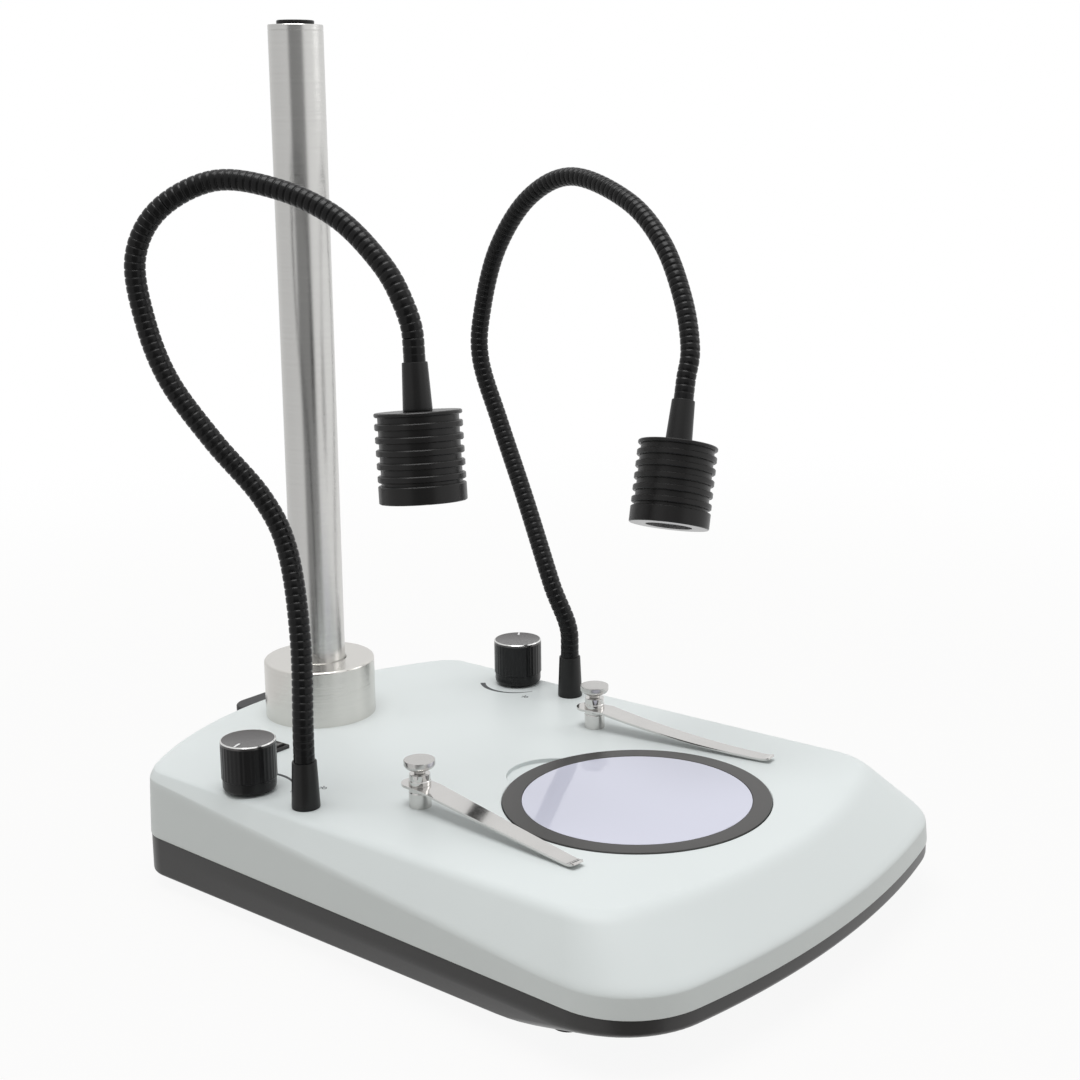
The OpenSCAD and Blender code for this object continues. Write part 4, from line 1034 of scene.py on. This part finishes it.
class STAND_OT_switch(bpy.types.Operator):
    """Makes the rocker switch and its bezel"""

    bl_idname = "stand.switch"
    bl_label = "Rocker switch"

    def execute(self, context):
        colours = context.scene.stand_colours
        x, y, _, _ = seat_of("switch_bezel")
        bezel = block(15, 21, 1.8)
        top = max(bezel.faces, key=lambda f: f.calc_center_median().z)
        bmesh.ops.inset_individual(bezel, faces=[top], thickness=1.5)
        sunk = bmesh.ops.extrude_face_region(bezel, geom=[top])["geom"]
        bmesh.ops.delete(bezel, geom=[top], context="FACES_ONLY")
        bmesh.ops.translate(bezel, vec=(0, 0, -1.7), verts=points_of(sunk))
        bmesh.ops.recalc_face_normals(bezel, faces=bezel.faces)
        round_edges(bezel, 0.4, segments=3)
        piece(
            "switch_frame", placed(bezel, Matrix.Translation((x, y, TOP_Z))),
            moulded("switch plastic", shade(colours.plastic, 5.0), 0.34, 0.25), "base",
            ["switch_bezel"],
        )
        bm = bmesh.new()
        points = [
            (-8.3, 5.8), (-8.3, 0.5), (-4.15, -3), (4.15, -3), (8.3, 0.5), (8.3, 5.8), (4.2, 4.1), (0, 3.2),
            (-4.2, 4.1),
        ]
        side = bm.faces.new([bm.verts.new((-5.4, p, q)) for p, q in points])
        grown = bmesh.ops.extrude_face_region(bm, geom=[side])["geom"]
        bmesh.ops.translate(bm, vec=(10.8, 0, 0), verts=points_of(grown))
        bmesh.ops.recalc_face_normals(bm, faces=bm.faces)
        round_edges(bm, 0.45, 50.0, 3)
        placed(bm, Matrix.Translation((x, y, TOP_Z - 1)) @ Matrix.Rotation(radians(12), 4, "X"))
        piece(
            "switch_paddle", bm, moulded("paddle gloss", shade(colours.plastic, 4.5), 0.26, 0.1, gloss=0.4),
            "switch_rocker", ["switch_rocker"],
        )
        return {"FINISHED"}


class STAND_OT_rear_block(bpy.types.Operator):
    """Makes the connector block behind the housing, with the hole of its jack"""

    bl_idname = "stand.rear_block"
    bl_label = "Rear block"

    def execute(self, context):
        colours = context.scene.stand_colours
        bm = block(34, 9.8, 25)
        tall = [
            e for e in bm.edges if abs(e.verts[0].co.z - e.verts[1].co.z) > 20 and e.verts[0].co.y > 0
        ]
        bmesh.ops.bevel(
            bm, geom=tall, offset=9, offset_type="OFFSET", segments=10, profile=0.5, affect="EDGES",
            material=-1,
        )
        round_edges(bm, 0.9, 50.0, 3)
        hole = turned([(0, 0), (4.55, 0), (4.55, 20), (0, 20)], 0, steps=48)
        placed(hole, Matrix.Translation((0, 180, 38.25)) @ Matrix.Rotation(pi / 2, 4, "X"))
        placed(bm, Matrix.Translation((0, 166.1, 27)))
        plastic = moulded("block plastic", colours.block, 0.48, 0.45, 1700.0)
        piece("connector_block", bm, plastic, "base", ["rear_block"], [hole])
        return {"FINISHED"}


class STAND_OT_necks(bpy.types.Operator):
    """Makes the boots on the base and draws the ribbed goosenecks, each in a lower and an upper part"""

    bl_idname = "stand.necks"
    bl_label = "Goosenecks"

    def execute(self, context):
        sizes, colours = context.scene.stand_sizes, context.scene.stand_colours
        rubber = moulded("boot rubber", colours.plastic, 0.36, 0.2, gloss=0.3)
        black = moulded("gooseneck black", colours.hose, 0.24, 0.08, 3200.0, 0.22)
        deep = sizes.rib_groove / MM
        phases = (0.0, 0.06, 0.13, 0.3, 0.7, 0.87, 0.94)
        drops = (1.0, 0.7, 0.12, 0.0, 0.0, 0.12, 0.7)
        for side in NECKS:
            x, y, _, top = seat_of(f"{side}_neck_boot")
            boot = turned(
                [(3.4, TOP_Z - 3), (4, TOP_Z - 3), (4, TOP_Z), (BOOT_R, TOP_Z), (BOOT_R, TOP_Z + BOOT_RIM),
                 (BOOT_TOP_R, top), (4.1, top), (4.1, top - 5), (3.4, top - 5)], 0.4, True, 72,
            )
            placed(boot, upright(x, y))
            piece(f"{side}_base_boot", boot, rubber, "base", [f"{side}_neck_boot"])
            points, split, bend, end = neck_stations(side, sizes.rib_pitch / MM, phases)
            ends = [min(i, len(points) - 1 - i) / len(phases) for i in range(len(points))]
            radii = [HOSE_R - deep * drops[i % len(phases)] * min(e / 3, 1) for i, e in enumerate(ends)]
            lower = ribbed(points[: split + 1], radii[: split + 1])
            piece(
                f"{side}_gooseneck_lower", lower, black, f"{side}_neck", [f"{side}_hose_lower"],
                sharp=70.0, even=False,
            )
            upper = ribbed(points[split:], radii[split:])
            made = piece(
                f"{side}_gooseneck_upper", upper, black, None,
                [f"{side}_hose_upper", f"{side}_lead_upper"], sharp=70.0, even=False,
            )
            bend * MM
            end * MM
            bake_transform(made)
        return {"FINISHED"}


class STAND_OT_lamps(bpy.types.Operator):
    """Turns the lamp heads: boots, finned heat sinks, bezels and lenses"""

    bl_idname = "stand.lamps"
    bl_label = "Lamp heads"

    def execute(self, context):
        sizes, colours = context.scene.stand_sizes, context.scene.stand_colours
        rubber = bpy.data.materials["boot rubber"]
        lens_finish = frosted_lens("lamp lens", colours.lens)
        bore = plated("lamp bore", colours.bore, 0.5)
        cut = sizes.fin_cut / MM
        top = LAMP_HALF
        tip = LAMP_HALF + LAMP_BOOT
        for side in LAMPS:
            seat = head_seat(side)
            black = turned_metal(f"{side} lamp black", colours.lamp, 0.32, seat, 4200.0, 0.03, 0.2, 0.36)
            face_black = turned_metal(f"{side} bezel face", colours.lamp, 0.14, seat, 4200.0, 0.01, 0.2)
            body = f"{side}_lamp"
            boot = turned(
                [(2.6, top - 1), (3.9, top - 1), (3.9, top), (BOOT_R, top), (BOOT_R, top + BOOT_RIM),
                 (BOOT_TOP_R, tip), (4.1, tip), (4.1, tip - 5), (2.6, tip - 5)], 0.4, True, 72,
            )
            piece(f"{side}_head_boot", placed(boot, seat), rubber, body, [f"{body}_boot"])
            edge = LAMP_R - cut
            rim = [(15.1, BEZEL_TOP), (FIN_ROOT, BEZEL_TOP), (FIN_ROOT, FIN_Z)]
            for z in [FIN_Z + FIN_PITCH * k for k in range(5)]:
                fin = z + FIN_H
                rim += [(edge, z), (LAMP_R, z + cut), (LAMP_R, fin - cut), (edge, fin), (FIN_ROOT, fin)]
                rim += [(FIN_ROOT, z + FIN_PITCH)]
            rim += [(edge, 16.8), (LAMP_R, 16.8 + cut), (LAMP_R, top - cut), (edge, top), (4.1, top)]
            rim += [(4.1, 5.9), (13, 5.9), (13, -6.6), (15.1, -6.6)]
            sink = turned(rim, 0, True, 128)
            piece(f"{side}_heat_sink", placed(sink, seat), black, body, [f"{side}_lamp_sink"])
            ring = turned(
                [(10.5, -top), (LAMP_R - 0.3, -top), (LAMP_R, -top + 0.3), (LAMP_R, BEZEL_TOP - 0.4),
                 (LAMP_R - 0.4, BEZEL_TOP), (15, BEZEL_TOP), (15, -7.1), (13.2, -7.1), (13.2, -16.7),
                 (10.5, -16.7)], 0, True, 128,
            )
            for face in ring.faces:
                inside = face.calc_center_median().xy.length < 11.0 and abs(face.normal.z) < 0.5
                face.material_index = 2 if inside else int(face.normal.z < -0.6)
            piece(
                f"{side}_bezel_ring", placed(ring, seat), [black, face_black, bore], body,
                [f"{side}_lamp_bezel"],
            )
            dome = [(13.1 * cos(i * pi / 24), -15.2 + 2 * sin(i * pi / 24)) for i in range(13)]
            lens = turned([(0, -16.7), (13.1, -16.7)] + dome[:-1] + [(0, -13.2)], 0, steps=64)
            placed(lens, seat)
            piece(f"{side}_lens", lens, lens_finish, body, [f"{body}_lens"], even=False)
        return {"FINISHED"}


class STAND_OT_inner_pieces(bpy.types.Operator):
    """Gives the screws, boards, dimmers and other inner pieces their finishes"""

    bl_idname = "stand.inner_pieces"
    bl_label = "Inner pieces"

    def execute(self, context):
        colours = context.scene.stand_colours
        steel = plated("screw steel", colours.steel, 0.32)
        board = printed_board("board lacquer", colours.board)
        white = matt_white("light well white", colours.white, 0.55)
        dress(
            steel, "foot_screws", "collar_screws", "collar_set_screw", "post_bolt", "pot_nuts", "gland_nuts",
            "left_pot_shaft", "right_pot_shaft", "left_pot", "right_pot",
        )
        dress(board, "power_board", "dimmer_boards", "led_board")
        dress(white, "light_well", "diffuser")
        phosphor = matt_white("chip phosphor", colours.emitter, 0.4)
        dress(phosphor, "led_chips", "left_lamp_led", "right_lamp_led")
        dress(moulded("jack plastic", colours.plastic, 0.30, 0.15), "power_jack")
        dress(moulded("lead sleeve", colours.hose, 0.45, 0.3), "left_lead_lower", "right_lead_lower")
        return {"FINISHED"}


class STAND_OT_studio(bpy.types.Operator):
    """Sets the pale floor, the soft lights, the white surround and the camera"""

    bl_idname = "stand.studio"
    bl_label = "Studio"

    def execute(self, context):
        scene = context.scene
        scene.view_settings.view_transform = "Standard"
        self.floor(scene.stand_sizes.floor_span)
        self.surround(scene)
        self.lamp("overhead", place=(-0.16, 0.06, 1.7), span=1.1, power=18.8)
        self.lamp("front", place=(1.5, -1.25, 1.05), span=1.0, power=4.4)
        data = bpy.data.cameras.new("camera")
        data.sensor_width = 36.0
        data.lens = 59.36
        data.shift_x = -0.0849
        data.shift_y = -0.0556
        data.clip_start = 0.02
        camera = bpy.data.objects.new("camera", data)
        camera.matrix_world = Matrix((
            (0.5914, 0.1669, -0.78894, -0.58109),
            (-0.8064, 0.1224, -0.57860, -0.49225),
            (0.0, 0.97838, 0.20697, 0.34570),
            (0.0, 0.0, 0.0, 1.0),
        ))
        scene.collection.objects.link(camera)
        scene.camera = camera
        return {"FINISHED"}

    def floor(self, span):
        """Pale floor: nearly white for the camera with the stand's shadow kept, clear for reflections"""
        bm = bmesh.new()
        bmesh.ops.create_grid(bm, x_segments=1, y_segments=1, size=span / MM / 2)
        ground = in_scene("floor", bm)
        material, shader, place = finish("floor white")
        mottle = place.noise(3.0)
        pale, paler = (0.57, 0.55, 0.52), (0.59, 0.57, 0.54)
        feed(shader, Base_Color=mottle.between(pale, paler), Roughness=0.75 + 0.1 * mottle)
        away = place.vector("LENGTH", (0.0, 0.0, 0.0), "Value").step(0.3, 1.1)
        path = place.node("ShaderNodeLightPath", out="Is Camera Ray")
        seen = path + path.other("Is Transmission Ray")
        glow = place.node("ShaderNodeEmission", None, {"Color": (1, 1, 1, 1), "Strength": 1.0})
        clear = place.node("ShaderNodeBsdfTransparent")
        plain = Socket(material.node_tree, shader.outputs[0])
        white = place.node("ShaderNodeMixShader", None, {0: seen * (0.92 + 0.08 * away), 1: plain, 2: glow})
        mixed = place.node("ShaderNodeMixShader", None, {0: path.other("Is Glossy Ray"), 1: white, 2: clear})
        output = material.node_tree.nodes["Material Output"]
        material.node_tree.links.new(mixed.socket, output.inputs["Surface"])
        ground.data.materials.append(material)

    def surround(self, scene):
        """White for the camera; for metal and glass softly graded, with a dark gap towards the camera"""
        world = bpy.data.worlds.new("surround")
        world.use_nodes = True
        scene.world = world
        tree = world.node_tree
        way = Socket(tree).node("ShaderNodeTexCoord", out="Generated")
        level_way = way.vector("MULTIPLY", (1.0, 1.0, 0.0)).vector("NORMALIZE", (0.0, 0.0, 0.0))
        towards = level_way.vector("DOT_PRODUCT", TO_CAMERA, "Value")
        height = way.node("ShaderNodeSeparateXYZ", None, {"Vector": way}, out="Z")
        across = level_way.vector("DOT_PRODUCT", TO_RIGHT, "Value")
        gap = towards.step(0.845, 0.885) * (1 - height.step(0.30, 0.60))
        gloss = (0.88 + 0.12 * across + 0.15 * height.step(0.2, 0.9)) * (1 - 0.65 * gap)
        camera = way.node("ShaderNodeLightPath", out="Is Camera Ray")
        mirror = camera.other("Is Glossy Ray") + camera.other("Is Transmission Ray")
        level = camera + (1 - camera) * (mirror * gloss + (1 - mirror) * (0.44 - 0.06 * towards))
        back = tree.nodes["Background"]
        tree.links.new(level.socket, back.inputs["Strength"])
        back.inputs["Color"].default_value = (1.0, 1.0, 1.0, 1.0)

    def lamp(self, name, place, span, power):
        """Square soft light, turned to the stand"""
        data = bpy.data.lights.new(name, "AREA")
        data.shape = "SQUARE"
        data.size = span
        data.energy = power
        made = bpy.data.objects.new(name, data)
        made.location = place
        made.rotation_euler = (Vector(AIM) - Vector(place)).to_track_quat("-Z", "Y").to_euler()
        bpy.context.scene.collection.objects.link(made)


OPERATORS = (
    STAND_OT_studio,
    STAND_OT_necks,
    STAND_OT_lamps,
    STAND_OT_housing,
    STAND_OT_pan,
    STAND_OT_post,
    STAND_OT_stage,
    STAND_OT_clips,
    STAND_OT_knobs,
    STAND_OT_switch,
    STAND_OT_rear_block,
    STAND_OT_inner_pieces,
)


class STAND_PT_pieces(bpy.types.Panel):
    """Lists the pieces of the stand"""

    bl_idname = "STAND_PT_pieces"
    bl_label = "Post stand"
    bl_space_type = "VIEW_3D"
    bl_region_type = "UI"
    bl_category = "Post stand"

    def draw(self, context):
        for group in (context.scene.stand_sizes, context.scene.stand_colours):
            box = self.layout.box()
            for name in group.__annotations__:
                box.prop(group, name)
        for operator in OPERATORS:
            self.layout.operator(operator.bl_idname)


CLASSES = (StandSizes, StandColours, *OPERATORS, STAND_PT_pieces)


def register():
    for cls in CLASSES:
        bpy.utils.register_class(cls)
    bpy.types.Scene.stand_sizes = PointerProperty(type=StandSizes)
    bpy.types.Scene.stand_colours = PointerProperty(type=StandColours)


def unregister():
    del bpy.types.Scene.stand_colours
    del bpy.types.Scene.stand_sizes
    for cls in reversed(CLASSES):
        bpy.utils.unregister_class(cls)


def main():
    register()
    for operator in OPERATORS:
        getattr(bpy.ops.stand, operator.bl_idname.split(".")[1])()


if __name__ == "__main__":
    main()
